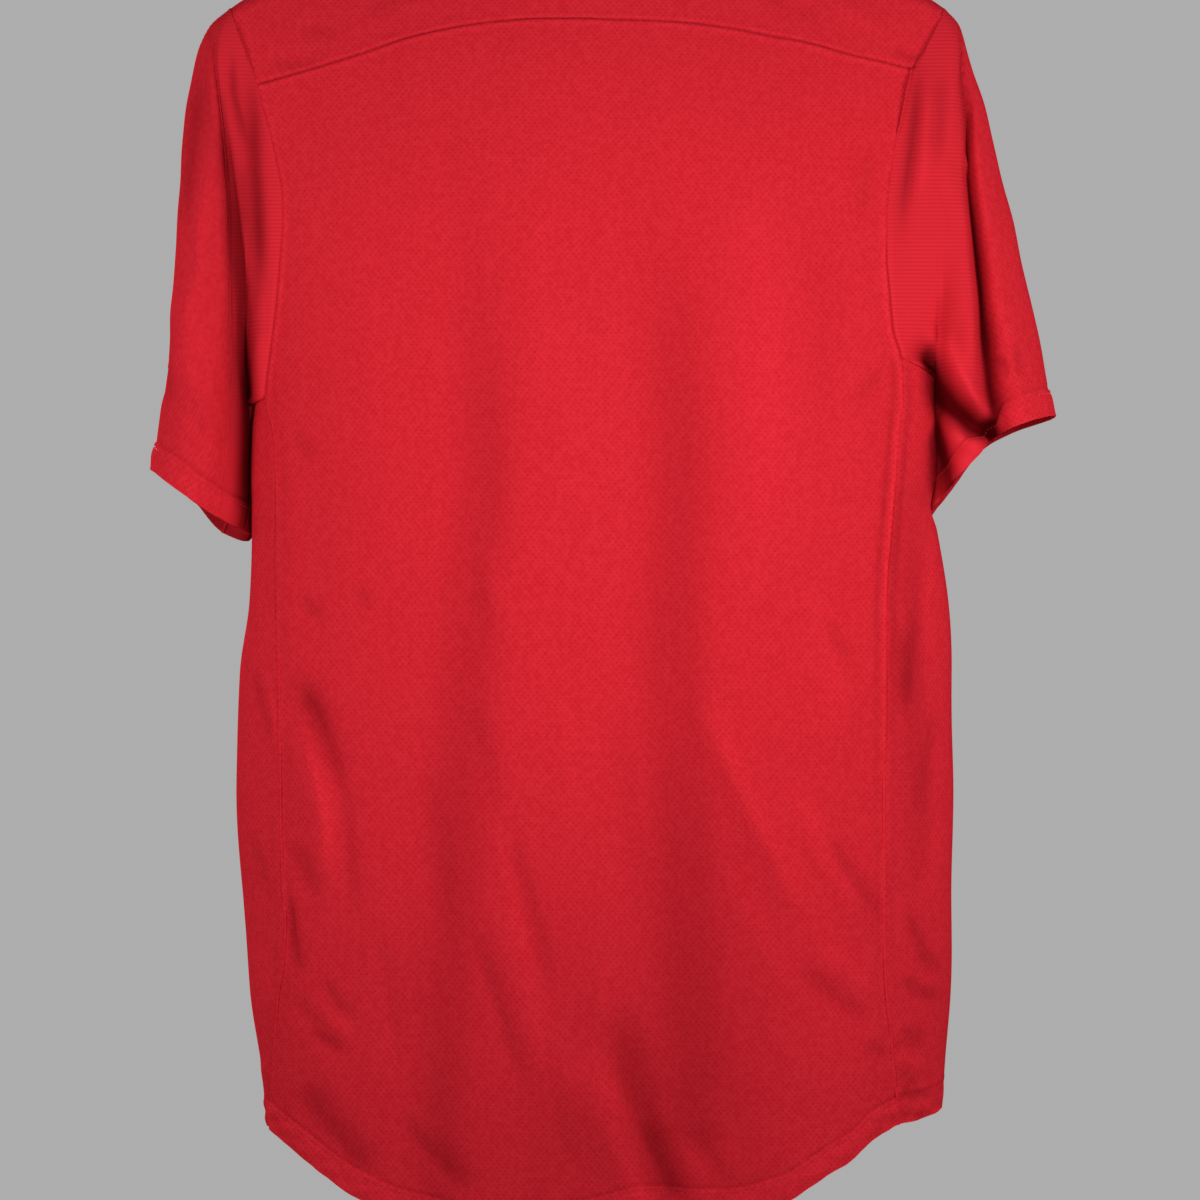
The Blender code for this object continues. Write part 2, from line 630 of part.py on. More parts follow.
# ---------------------------------------------------------------- collar
def collar_grid(yoke, front):
    """Rows run up from the neckline, and columns round the neck, closing on the first."""
    half = len(YOKE_STEPS) - 1
    first, last = SHOULDERS, -1 - SHOULDERS
    neckline = np.concatenate(
        [
            yoke[half, first : yoke.shape[1] - SHOULDERS],
            yoke[half + 1 :, last],
            front[-1, last - 1 : first : -1],
            yoke[:half:-1, first],
        ]
    )
    lean = radians(COLLAR_LEAN)
    grid = np.zeros((len(COLLAR_STEPS), len(neckline) + 1, 3))
    for i, base in enumerate(neckline):
        inward = np.array([-base[0], -base[1], 0])
        inward /= max(np.linalg.norm(inward), 1e-6)
        rise = np.array([0, 0, cos(lean)]) + inward * sin(lean)
        for k, step in enumerate(COLLAR_STEPS):
            grid[k, i] = base + rise * COLLAR_HEIGHT * step
    grid[:, -1] = grid[:, 0]
    return grid


# ---------------------------------------------------------------- walls
class Piece:
    """One cut piece of cloth: quads on its middle surface, with an index for each point."""

    def __init__(self, name, finish, grid, cells=None, raised=None, thickness=CLOTH):
        self.name, self.finish, self.thickness = name, finish, thickness
        rows, columns = grid.shape[:2]
        raised = np.zeros((rows, columns)) if raised is None else raised
        self.points, self.raised, index = [], [], {}
        number = np.zeros((rows, columns), int)
        for r in range(rows):
            for c in range(columns):
                key = seam_key(grid[r, c])
                if key not in index:
                    index[key] = len(self.points)
                    self.points.append(Vector(grid[r, c]))
                    self.raised.append(raised[r, c])
                number[r, c] = index[key]
        self.faces = [
            (number[r, c], number[r, c + 1], number[r + 1, c + 1], number[r + 1, c])
            for r in range(rows - 1)
            for c in range(columns - 1)
            if cells is None or cells[r, c]
        ]

    def turn_over(self):
        """Faces the other way, so that every piece's quads face out of the garment."""
        self.faces = [face[::-1] for face in self.faces]
        return self

    def halves(self, face):
        """A quad's two triangles, cut along its shorter diagonal."""
        a, b, c, d = face
        if (self.points[a] - self.points[c]).length <= (self.points[b] - self.points[d]).length:
            return (a, b, c), (a, c, d)
        return (a, b, d), (b, c, d)

    def face_normal(self, face):
        a, b, c, d = (self.points[i] for i in face)
        return (c - a).cross(d - b)

    def border(self):
        """Each border edge, as (first point, second point, the quad it belongs to)."""
        used = defaultdict(list)
        for face in self.faces:
            for a, b in zip(face, face[1:] + face[:1]):
                used[frozenset((a, b))].append((a, b, face))
        return [edges[0] for edges in used.values() if len(edges) == 1]

    def inset(self, normals):
        """How far each border point moves into the piece, to leave half of the seam's gap."""
        ways = defaultdict(list)
        for a, b, face in self.border():
            middle = sum((self.points[i] for i in face), Vector()) / 4
            along = (self.points[b] - self.points[a]).normalized()
            for i in (a, b):
                way = middle - (self.points[a] + self.points[b]) / 2
                way -= along * way.dot(along)
                way -= normals[i] * way.dot(normals[i])
                ways[i].append(way.normalized())
        moved = {}
        for i, (first, *rest) in ways.items():
            second = rest[0] if rest else first
            moved[i] = (first + second) / max(1 + first.dot(second), 0.35) * (SEAM_GAP / 2)
        return moved

    def wall(self, normals):
        """The closed wall as a bmesh in metres."""
        moved = self.inset(normals)
        used = sorted({i for face in self.faces for i in face})
        made = bmesh.new()
        outer, inner = {}, {}
        for i in used:
            middle = self.points[i] + moved.get(i, Vector())
            outer[i] = made.verts.new((middle + normals[i] * (self.thickness / 2 + self.raised[i])) * MM)
            inner[i] = made.verts.new((middle - normals[i] * self.thickness / 2) * MM)
        for face in self.faces:
            for corners in self.halves(face):
                made.faces.new([outer[i] for i in corners])
                made.faces.new([inner[i] for i in reversed(corners)])
        for a, b, _ in self.border():
            made.faces.new((outer[b], outer[a], inner[a], inner[b]))
        return made


def seam_key(point):
    return tuple(np.round(np.asarray(point, float), 3) + 0.0)


def shared_normals(pieces):
    """The way out of the garment at each point, the same for all the pieces that meet there."""
    total = defaultdict(Vector)
    for piece in pieces:
        for face in piece.faces:
            normal = piece.face_normal(face)
            for i in face:
                total[seam_key(piece.points[i])] += normal
    return {key: normal.normalized() for key, normal in total.items()}


# ---------------------------------------------------------------- hanger
def hanger_top(x):
    """Height of the hanger's bar, just under the cloth, with its raised middle."""
    height, half_width = HANGER_HUMP
    hump = height * np.exp(-((x / half_width) ** 4))
    depth, place, half_dip = COLLAR_NOTCH
    dip = depth * np.exp(-(((np.abs(x) - place) / half_dip) ** 2))
    return cloth_over_bar(x) - CLOTH / 2 - HANGER_CLEARANCE + hump - dip


def bar_stations():
    """Distances from the middle to the rings of half the bar: the yoke's columns, and more."""
    over_shoulder = mix(SHOULDER_TIP[0], NECK_HALF_WIDTH, np.array(SHOULDER_STEPS[:0:-1]))
    within_neck = np.array((0, 5, 10, 14, 18, 22, 28, 38, 50, 62, 74, 80))
    end = HANGER_WIDTH / 2 - np.array((2.2, 0.8, 0.1))
    return np.concatenate([within_neck, over_shoulder, end])


def cloth_over_bar(x):
    """Height of the cloth over the bar, straight from each of its columns to the next."""
    over_shoulder = mix(SHOULDER_TIP[0], NECK_HALF_WIDTH, np.array(SHOULDER_STEPS[::-1]))
    on_cloth = np.interp(np.abs(x), over_shoulder, ridge_height(over_shoulder))
    return np.where(np.abs(x) < NECK_HALF_WIDTH, ridge_height(x), on_cloth)


def hanger_bar():
    """The hanger's bar: ovals along it, which close in a round end."""
    depth, height = HANGER_BAR
    half = HANGER_WIDTH / 2
    reach = bar_stations()
    made = bmesh.new()
    rings = []
    for x in np.concatenate([-reach[:0:-1], reach]):
        end = min(1, (half - abs(x)) / (height / 2))
        size = max(end * (2 - end), 0.02) ** 0.5
        top = float(hanger_top(np.array(x)))
        low = float(ridge_height(np.array(x))) - height
        centre, tall = (top + low) / 2, (top - low) / 2 * size
        ring = []
        for k in range(BAR_SIDES):
            a = 2 * pi * k / BAR_SIDES
            ring.append(made.verts.new(Vector((x, depth / 2 * size * cos(a), centre + tall * sin(a))) * MM))
        rings.append(ring)
    for near, far in zip(rings, rings[1:]):
        for k in range(BAR_SIDES):
            after = (k + 1) % BAR_SIDES
            made.faces.new((near[k], near[after], far[after], far[k]))
    made.faces.new(reversed(rings[0]))
    made.faces.new(rings[-1])
    bmesh.ops.recalc_face_normals(made, faces=made.faces)
    return made


def hook_route():
    """The hook's wire as (x, z) points: a stem that swings out into the round bend."""
    radius = HOOK_INNER_RADIUS + HOOK_WIRE / 2
    centre_z = -HOOK_INNER_RADIUS
    foot = float(hanger_top(np.array(0.0))) + SEAM_GAP
    start = radians(HOOK_START)
    meet = (radius * cos(start), centre_z + radius * sin(start))
    stem = [(0, foot), (0, foot + 4), (0, foot + 8)]
    for k in range(1, 8):
        share = k / 8
        stem.append((meet[0] * float(ease(share)), mix(foot + 8, meet[1], share)))
    bend = []
    for angle in np.linspace(HOOK_START, HOOK_END, 30):
        bend.append((radius * cos(radians(angle)), centre_z + radius * sin(radians(angle))))
    return stem + bend


# ---------------------------------------------------------------- scene
def material(name):
    made = bpy.data.materials.get(name)
    if made:
        return made
    made = bpy.data.materials.new(name)
    made.use_nodes = True
    shader = made.node_tree.nodes["Principled BSDF"]
    shader.inputs["Base Color"].default_value = (*COLOURS[name], 1)
    shader.inputs["Roughness"].default_value = {"plastic": 0.45, "wire": 0.3}.get(name, 0.75)
    shader.inputs["Metallic"].default_value = 1.0 if name == "wire" else 0.0
    return made


def add_object(name, data, finish):
    made = bpy.data.objects.new(name, data)
    data.materials.append(material(finish))
    bpy.context.scene.collection.objects.link(made)
    return made


def add_mesh(name, shape, finish):
    data = bpy.data.meshes.new(name)
    shape.to_mesh(data)
    shape.free()
    data.shade_smooth()
    data.set_sharp_from_angle(angle=radians(50))
    return add_object(name, data, finish)


def add_hook():
    data = bpy.data.curves.new("hook", "CURVE")
    data.dimensions = "3D"
    data.bevel_depth = HOOK_WIRE / 2 * MM
    data.bevel_resolution = 3
    data.use_fill_caps = True
    line = data.splines.new("POLY")
    route = hook_route()
    line.points.add(len(route) - 1)
    for point, (x, z) in zip(line.points, route):
        point.co = (x * MM, 0, z * MM, 1)
    add_object("hook", data, "wire")


def garment():
    """All the cut pieces, with their quads facing out."""
    back, front = back_grid(), front_grid()
    yoke, yoke_cells = yoke_grid(back, front)
    rows = back.shape[0]
    pieces = [
        Piece("back", "knit", back, raised=hem_raise(rows, back.shape[1])),
        Piece("front", "knit", front, raised=hem_raise(rows, front.shape[1])).turn_over(),
        Piece("yoke", "knit", yoke, yoke_cells),
    ]
    under = len(YOKE_STEPS) - 1 + ARM_ROWS + SIDE_COLUMNS // 2
    for side, word in ((LEFT, "left"), (RIGHT, "right")):
        panel = side_grid(side, back, front)
        pieces.append(Piece(f"side_{word}", "knit", panel, raised=hem_raise(*panel.shape[:2])))
        sleeve = sleeve_grid(side, armhole(side, back, front, panel, yoke))
        cuff = hem_raise(*sleeve.shape[:2])[::-1]
        pieces.append(Piece(f"sleeve_{word}", "knit", sleeve[:, under:], raised=cuff[:, under:]))
        mesh = sleeve[:, : under + 1]
        pieces.append(Piece(f"sleeve_mesh_{word}", "mesh", mesh, raised=cuff[:, : under + 1]))
        if side == LEFT:
            for piece in pieces[-3:]:
                piece.turn_over()
    collar = collar_grid(yoke, front)
    pieces.append(Piece("collar", "rib", collar, raised=np.full(collar.shape[:2], COLLAR_STEP)))
    return pieces


def main():
    for old in list(bpy.data.objects):
        bpy.data.objects.remove(old)
    pieces = garment()
    normals = shared_normals(pieces)
    for piece in pieces:
        own = [normals[seam_key(point)] if seam_key(point) in normals else Vector() for point in piece.points]
        add_mesh(piece.name, piece.wall(own), piece.finish)
    add_mesh("hanger", hanger_bar(), "plastic")
    add_hook()


main()
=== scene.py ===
"""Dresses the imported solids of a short-sleeved football jersey on a shirt hanger.

The jersey's front faces -Y, its wearer's left is +X, +Z is up, and the origin is where the
hanger's hook rests on a rail. Sizes in the tables are millimetres. Each cut piece is a grid on
the cloth's middle surface, on the form of its solid, and gets its wall from a Solidify modifier.
"""

from __future__ import annotations

import logging
from abc import ABC, abstractmethod
from dataclasses import dataclass, field
from enum import Enum
from math import cos, pi, radians, sin
from typing import Iterable, NamedTuple, Optional, Sequence, Union

import bmesh
import bpy
import numpy as np
from mathutils import Matrix, Vector


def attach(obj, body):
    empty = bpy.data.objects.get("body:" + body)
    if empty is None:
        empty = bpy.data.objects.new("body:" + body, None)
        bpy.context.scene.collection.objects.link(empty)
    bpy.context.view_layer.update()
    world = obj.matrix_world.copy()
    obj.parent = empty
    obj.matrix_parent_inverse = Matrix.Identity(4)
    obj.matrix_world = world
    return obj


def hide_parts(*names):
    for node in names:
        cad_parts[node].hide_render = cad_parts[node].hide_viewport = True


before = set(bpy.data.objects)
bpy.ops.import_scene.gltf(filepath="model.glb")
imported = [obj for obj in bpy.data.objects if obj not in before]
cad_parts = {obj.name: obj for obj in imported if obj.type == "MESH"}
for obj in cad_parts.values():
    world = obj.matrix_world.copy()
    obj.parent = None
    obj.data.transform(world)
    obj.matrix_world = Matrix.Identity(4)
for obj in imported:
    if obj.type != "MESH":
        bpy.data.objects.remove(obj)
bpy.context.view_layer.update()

LOG = logging.getLogger("jersey")
MM = 0.001
Array = np.ndarray
Numbers = Union[float, Sequence[float], Array]
Colour = tuple[float, float, float]
Socket = bpy.types.NodeSocket
Term = Union["Value", float]


class Side(Enum):
    """A side of the wearer, by the sign of its x."""

    LEFT = 1
    RIGHT = -1

    @property
    def word(self) -> str:
        """The side's name in lower case, as in the names of nodes."""
        return self.name.lower()


class Face(Enum):
    """A face of the hung garment, by the sign of its y."""

    BACK = 1
    FRONT = -1


# -------- curves and tables
def curve(xs: Numbers, ys: Numbers, at: Numbers) -> Array:
    """Reads a smooth curve through points that never overshoots them.

    Args:
        xs: The points' places, rising.
        ys: The points' values.
        at: Where to read the curve.

    Returns:
        The curve's value at each place.
    """
    xs, ys, at = (np.asarray(v, float) for v in (xs, ys, at))
    step = np.diff(xs)
    slope = np.diff(ys) / step
    tangent = np.zeros(len(xs))
    tangent[0], tangent[-1] = slope[0], slope[-1]
    same_way = slope[:-1] * slope[1:] > 0
    mean = 2 * slope[:-1] * slope[1:] / np.where(same_way, slope[:-1] + slope[1:], 1)
    tangent[1:-1] = np.where(same_way, mean, 0)
    at = np.clip(at, xs[0], xs[-1])
    i = np.clip(np.searchsorted(xs, at, side="right") - 1, 0, len(xs) - 2)
    u = (at - xs[i]) / step[i]
    rise = ys[i] * (1 + 2 * u) * (1 - u) ** 2 + ys[i + 1] * u * u * (3 - 2 * u)
    return rise + step[i] * (tangent[i] * u * (1 - u) ** 2 - tangent[i + 1] * u * u * (1 - u))


def mix(a: Numbers, b: Numbers, share: Numbers) -> Array:
    """Goes a share of the way from a to b."""
    return a + (b - a) * share


def ease(share: Numbers) -> Array:
    """Goes from 0 to 1 with a level start and end."""
    share = np.clip(share, 0, 1)
    return share * share * (3 - 2 * share)


def bell(distance: Numbers, width: float) -> Array:
    """A soft bump of height 1 at no distance."""
    return np.exp(-((np.asarray(distance, float) / width) ** 2))


class Span(NamedTuple):
    """A stretch over which something grows from nothing to its full size."""

    start: float
    end: float

    def share(self, at: Numbers) -> Array:
        """Goes smoothly from 0 at the start to 1 at the end, whichever of them is more."""
        return ease((at - self.start) / (self.end - self.start))


class Spacing(NamedTuple):
    """Places along a piece, close at its ends and wider apart in its middle.

    Attributes:
        length: The piece's length.
        fine: The step at its ends.
        coarse: The step in its middle.
        reach: Over this distance from an end the step grows.
    """

    length: float
    fine: float
    coarse: float
    reach: float

    def shares(self) -> Array:
        """The places as shares of the length, from 0 to 1."""
        at = [0.0]
        while at[-1] < self.length / 2:
            at.append(at[-1] + float(mix(self.fine, self.coarse, ease(at[-1] / self.reach))))
        half = np.array(at) / at[-1] / 2
        return np.concatenate([half, 1 - half[-2::-1]])

    def near_half(self) -> Array:
        """The places of the nearer half, as shares of that half."""
        shares = self.shares()
        return shares[shares <= 0.5] * 2


class Table:
    """Rows of named numbers, read smoothly by their first column."""

    def __init__(self, *rows: NamedTuple) -> None:
        """Keeps the rows, whose first column rises."""
        self.rows = rows

    def read(self, column: str, at: Numbers) -> Array:
        """Reads a column at values of the table's first column."""
        return curve([row[0] for row in self.rows], [getattr(row, column) for row in self.rows], at)


class Level(NamedTuple):
    """The torso's loop at a height: half widths to both sides, depths behind and before."""

    z: float
    left: float
    right: float
    back: float
    front: float


class Edge(NamedTuple):
    """x of the side edges of the back and front at a height."""

    z: float
    left: float
    right: float


class Spot(NamedTuple):
    """A point of a line across the garment."""

    x: float
    z: float


class Ring(NamedTuple):
    """A ring of a sleeve: its top, its lowest point, its bow and its depths."""

    t: float
    outer_x: float
    outer_z: float
    inner_x: float
    inner_z: float
    bow: float
    back: float
    front: float


class Turn(NamedTuple):
    """The seams of a sleeve's mesh, in degrees from the sleeve's top, and the seam's valley."""

    t: float
    seam: float
    under: float
    valley: float
    valley_width: float


@dataclass(frozen=True)
class Fold:
    """A soft ridge along a line on the cloth, or a trough where its height is negative.

    Attributes:
        height: How far it stands out.
        half_width: Half its width.
        path: The points (x, z) of its line, as seen from behind or before.
        fade: Where it dies out: at its start (s), its end (e), both (b) or neither (n).
    """

    height: float
    half_width: float
    path: tuple[tuple[float, float], ...]
    fade: str = "b"

    def share(self, x: Array, z: Array) -> Array:
        """How much of the fold's height there is at points (x, z), from 0 to 1."""
        path = np.array(self.path, float)
        runs = np.linalg.norm(np.diff(path, axis=0), axis=1)
        start = np.concatenate([[0], np.cumsum(runs)])
        nearest = np.full(x.shape, np.inf)
        travelled = np.zeros(x.shape)
        for (ax, az), (bx, bz), before, run in zip(path, path[1:], start, runs):
            share = np.clip(((x - ax) * (bx - ax) + (z - az) * (bz - az)) / run**2, 0, 1)
            away = np.hypot(x - ax - share * (bx - ax), z - az - share * (bz - az))
            closer = away < nearest
            nearest = np.where(closer, away, nearest)
            travelled = np.where(closer, (before + share * run) / start[-1], travelled)
        grown = np.ones(x.shape)
        if self.fade in "sb":
            grown *= ease(travelled / FADE_SHARE)
        if self.fade in "eb":
            grown *= ease((1 - travelled) / FADE_SHARE)
        return grown * bell(nearest, self.half_width)

    def deepening(self, x: Array, z: Array) -> Array:
        """The painted shade in the fold at points (x, z), negative on a ridge, which gets a painted
        highlight.
        """
        weight = 1.0 if self.height < 0 else RIDGE_HIGHLIGHT
        return -self.height * weight * tone_per_mm(self.half_width) * self.share(x, z)


FADE_SHARE = 0.35  # a fold dies out over this share of its length
# Painted shade: a fold's trough mixes the deep colour into the knit, and a ridge gets a painted highlight.
RIDGE_HIGHLIGHT = 0.4  # a ridge pales by this share of what a trough deepens
FLAT_SHADE = 0.12  # the share of the deep colour in flat cloth
BROAD_SHADE = 0.01  # how much a millimetre of depth deepens the colour of the broadest fold
NARROW_SHADE = 0.35  # what is added to that, divided by half the fold's width


def tone_per_mm(half_width: float) -> float:
    """How much painted shade each millimetre of a fold's depth adds."""
    return BROAD_SHADE + NARROW_SHADE / half_width


def tone(folds: Iterable[Fold], x: Numbers, z: Numbers) -> Array:
    """Adds up the painted shade of folds at points (x, z), with painted highlights on ridges."""
    x, z = np.broadcast_arrays(np.asarray(x, float), np.asarray(z, float))
    total = np.zeros(x.shape)
    for fold in folds:
        total += fold.deepening(x, z)
    return total


def relief(folds: Iterable[Fold], x: Numbers, z: Numbers) -> Array:
    """Adds up the heights of folds at points (x, z)."""
    x, z = np.broadcast_arrays(np.asarray(x, float), np.asarray(z, float))
    total = np.zeros(x.shape)
    for fold in folds:
        total += fold.height * fold.share(x, z)
    return total


@dataclass(frozen=True)
class Ripple:
    """Fine unevenness of hung cloth: soft waves of many directions, the same each run.

    Attributes:
        height: The usual height of a wave.
        length: The usual length of a wave.
        seed: Picks the waves.
        stretch: How many times longer the waves are along z than across.
        waves: How many there are.
        lengths: The least and the greatest length, as shares of the usual one.
    """

    height: float
    length: float
    seed: int
    stretch: float = 1.0
    waves: int = 14
    lengths: tuple[float, float] = (0.6, 1.7)

    def at(self, x: Numbers, z: Numbers) -> Array:
        """The height of the waves at points (x, z)."""
        rng = np.random.default_rng(self.seed)
        total = np.zeros(np.broadcast(x, z).shape)
        for _ in range(self.waves):
            way, phase = rng.uniform(0, pi), rng.uniform(0, 2 * pi)
            number = 2 * pi / (self.length * rng.uniform(*self.lengths))
            total += np.sin(number * (np.cos(way) * x + np.sin(way) * z / self.stretch) + phase)
        return total * self.height / np.sqrt(self.waves / 2)


# -------- sizes of the body
LEVELS = Table(
    Level(-900, 194.5, 216, 67, 62),
    Level(-827, 200.5, 220.5, 67, 61),
    Level(-798, 203, 223.5, 67, 61),
    Level(-749, 210.5, 226.5, 66, 60),
    Level(-690, 214.5, 227.5, 65, 60),
    Level(-620, 219, 229, 64, 59),
    Level(-550, 216.5, 227.5, 62, 58),
    Level(-505, 211, 224.7, 61, 57),
    Level(-462, 209.5, 219.2, 60, 56),
    Level(-446, 209.5, 215, 59, 55),
    Level(-427, 210, 218, 58, 55),
    Level(-400, 209.5, 218, 57, 54),
    Level(-379, 208, 216.6, 56, 53),
    Level(-340, 214.5, 219.5, 54, 50),
    Level(-295, 222.5, 226, 50, 46),
    Level(-250, 230.5, 232, 46, 42),
    Level(-200, 242, 245, 41, 37),
    Level(-150, 264, 266, 36, 32),
    Level(-90, 290, 290, 30, 27),
)
EDGES = Table(
    Edge(-850, 196, -191.5), Edge(-819, 195.2, -191),
    Edge(-790, 193.8, -188.5), Edge(-768, 192.1, -186.4),
    Edge(-746, 190.4, -184), Edge(-731, 187.8, -183.2),
    Edge(-705, 186.2, -182.8), Edge(-677, 187.8, -182.7),
    Edge(-637, 189.1, -182.7), Edge(-590, 189.7, -182.7),
    Edge(-505, 191.5, -182.9), Edge(-450, 191.9, -187),
    Edge(-426, 192.2, -189.5), Edge(-400, 194.5, -191.8),
    Edge(-379, 199.4, -194.3), Edge(-355, 196.5, -193.4),
    Edge(-338, 194.3, -188.4), Edge(-316, 192, -186.5),
    Edge(-290, 190, -184.8), Edge(-270, 188.8, -184.9),
    Edge(-252, 189.2, -185.9), Edge(-232, 193, -188.8),
    Edge(-214, 197, -192.7), Edge(-197, 202, -196.3),
    Edge(-185, 204.7, -198.8), Edge(-175, 207.8, -201.6),
    Edge(-163, 214.3, -210.5), Edge(-152.4, 220.3, -218),
    Edge(-143, 222.3, -222), Edge(-134.5, 222.5, -222.5),
)
RIDGE = Table(
    Spot(0, -62), Spot(30, -66.5),
    Spot(60, -76), Spot(86, -85.5),
    Spot(150, -106), Spot(190, -119.5),
    Spot(206, -125.5), Spot(215, -129.5),
    Spot(222.5, -134.5),
)
YOKE_SEAM = Table(
    Spot(-202.5, -175), Spot(-185.8, -171),
    Spot(-164.7, -166.6), Spot(-131.8, -158),
    Spot(-117, -155.5), Spot(-89.7, -150.5),
    Spot(-58, -147), Spot(-26.5, -145.6),
    Spot(21, -145), Spot(52.8, -146.2),
    Spot(84.4, -150.5), Spot(116, -158),
    Spot(144, -167.3), Spot(181.7, -178.4),
    Spot(204.5, -184.6),
)
HEMS = {
    Face.BACK: Table(
        Spot(-191, -828), Spot(-174, -837),
        Spot(-160, -849.5), Spot(-150, -854.5),
        Spot(-134, -865), Spot(-119, -874),
        Spot(-82.5, -882), Spot(-57.5, -881),
        Spot(-33.5, -878), Spot(-11.5, -884),
        Spot(27.5, -892), Spot(67.5, -892),
        Spot(107.5, -884), Spot(143, -870),
        Spot(160, -859), Spot(181, -844),
        Spot(195.4, -833.5),
    ),
    Face.FRONT: Table(
        Spot(-191, -826), Spot(-150, -839),
        Spot(-100, -848), Spot(0, -853),
        Spot(100, -849), Spot(150, -843),
        Spot(195.4, -832),
    ),
}
BODY_FOLDS = {
    Face.BACK: (
        Fold(-4, 19, ((67.5, -190), (68.5, -322), (65.5, -432),
                        (78.5, -566), (90.5, -749), (94.5, -880)), "s"),
        Fold(-5, 20, ((-27.5, -200), (-50.5, -322), (-56.5, -414),
                        (-51.5, -536), (-57.5, -700), (-65.5, -830)), "s"),
        Fold(3.5, 22, ((-97.5, -185), (-108.5, -310), (-111.5, -414), (-105.5, -520))),
        Fold(-3.5, 32, ((-69.5, -580), (-83.5, -688), (-93.5, -810), (-95.5, -875)), "s"),
        Fold(3.6, 9, ((-59.5, -548), (-87.5, -603), (-118.5, -675), (-160.5, -752))),
        Fold(3, 9, ((-121.5, -612), (-154.5, -676), (-179.5, -715))),
        Fold(3, 12, ((62.5, -660), (40.5, -737), (22.5, -798), (12.5, -850))),
        Fold(5, 15, ((2.5, -770), (-11.5, -812), (-27.5, -850), (-37.5, -890)), "s"),
        Fold(-5, 13, ((-16, -745), (-28, -800), (-43.5, -845), (-59.5, -885)), "s"),
        Fold(3, 10, ((178.5, -570), (162.5, -640), (161.5, -700))),
        Fold(-3, 10, ((182.5, -545), (160.5, -603), (152.5, -625))),
        Fold(-3, 10, ((178.5, -800), (159.5, -828), (142.5, -848)), "s"),
        Fold(2.5, 12, ((-138.5, -490), (-154.5, -566), (-157.5, -610))),
    ),
    Face.FRONT: (
        Fold(-4, 20, ((-60, -260), (-66, -420), (-74, -600), (-88, -840)), "s"),
        Fold(-4, 20, ((55, -250), (58, -420), (64, -600), (82, -840)), "s"),
        Fold(3.5, 22, ((0, -300), (4, -500), (0, -700), (-6, -860)), "s"),
        Fold(3, 16, ((120, -560), (140, -660), (166, -740))),
        Fold(-3, 14, ((-118, -600), (-140, -680), (-160, -760))),
    ),
}
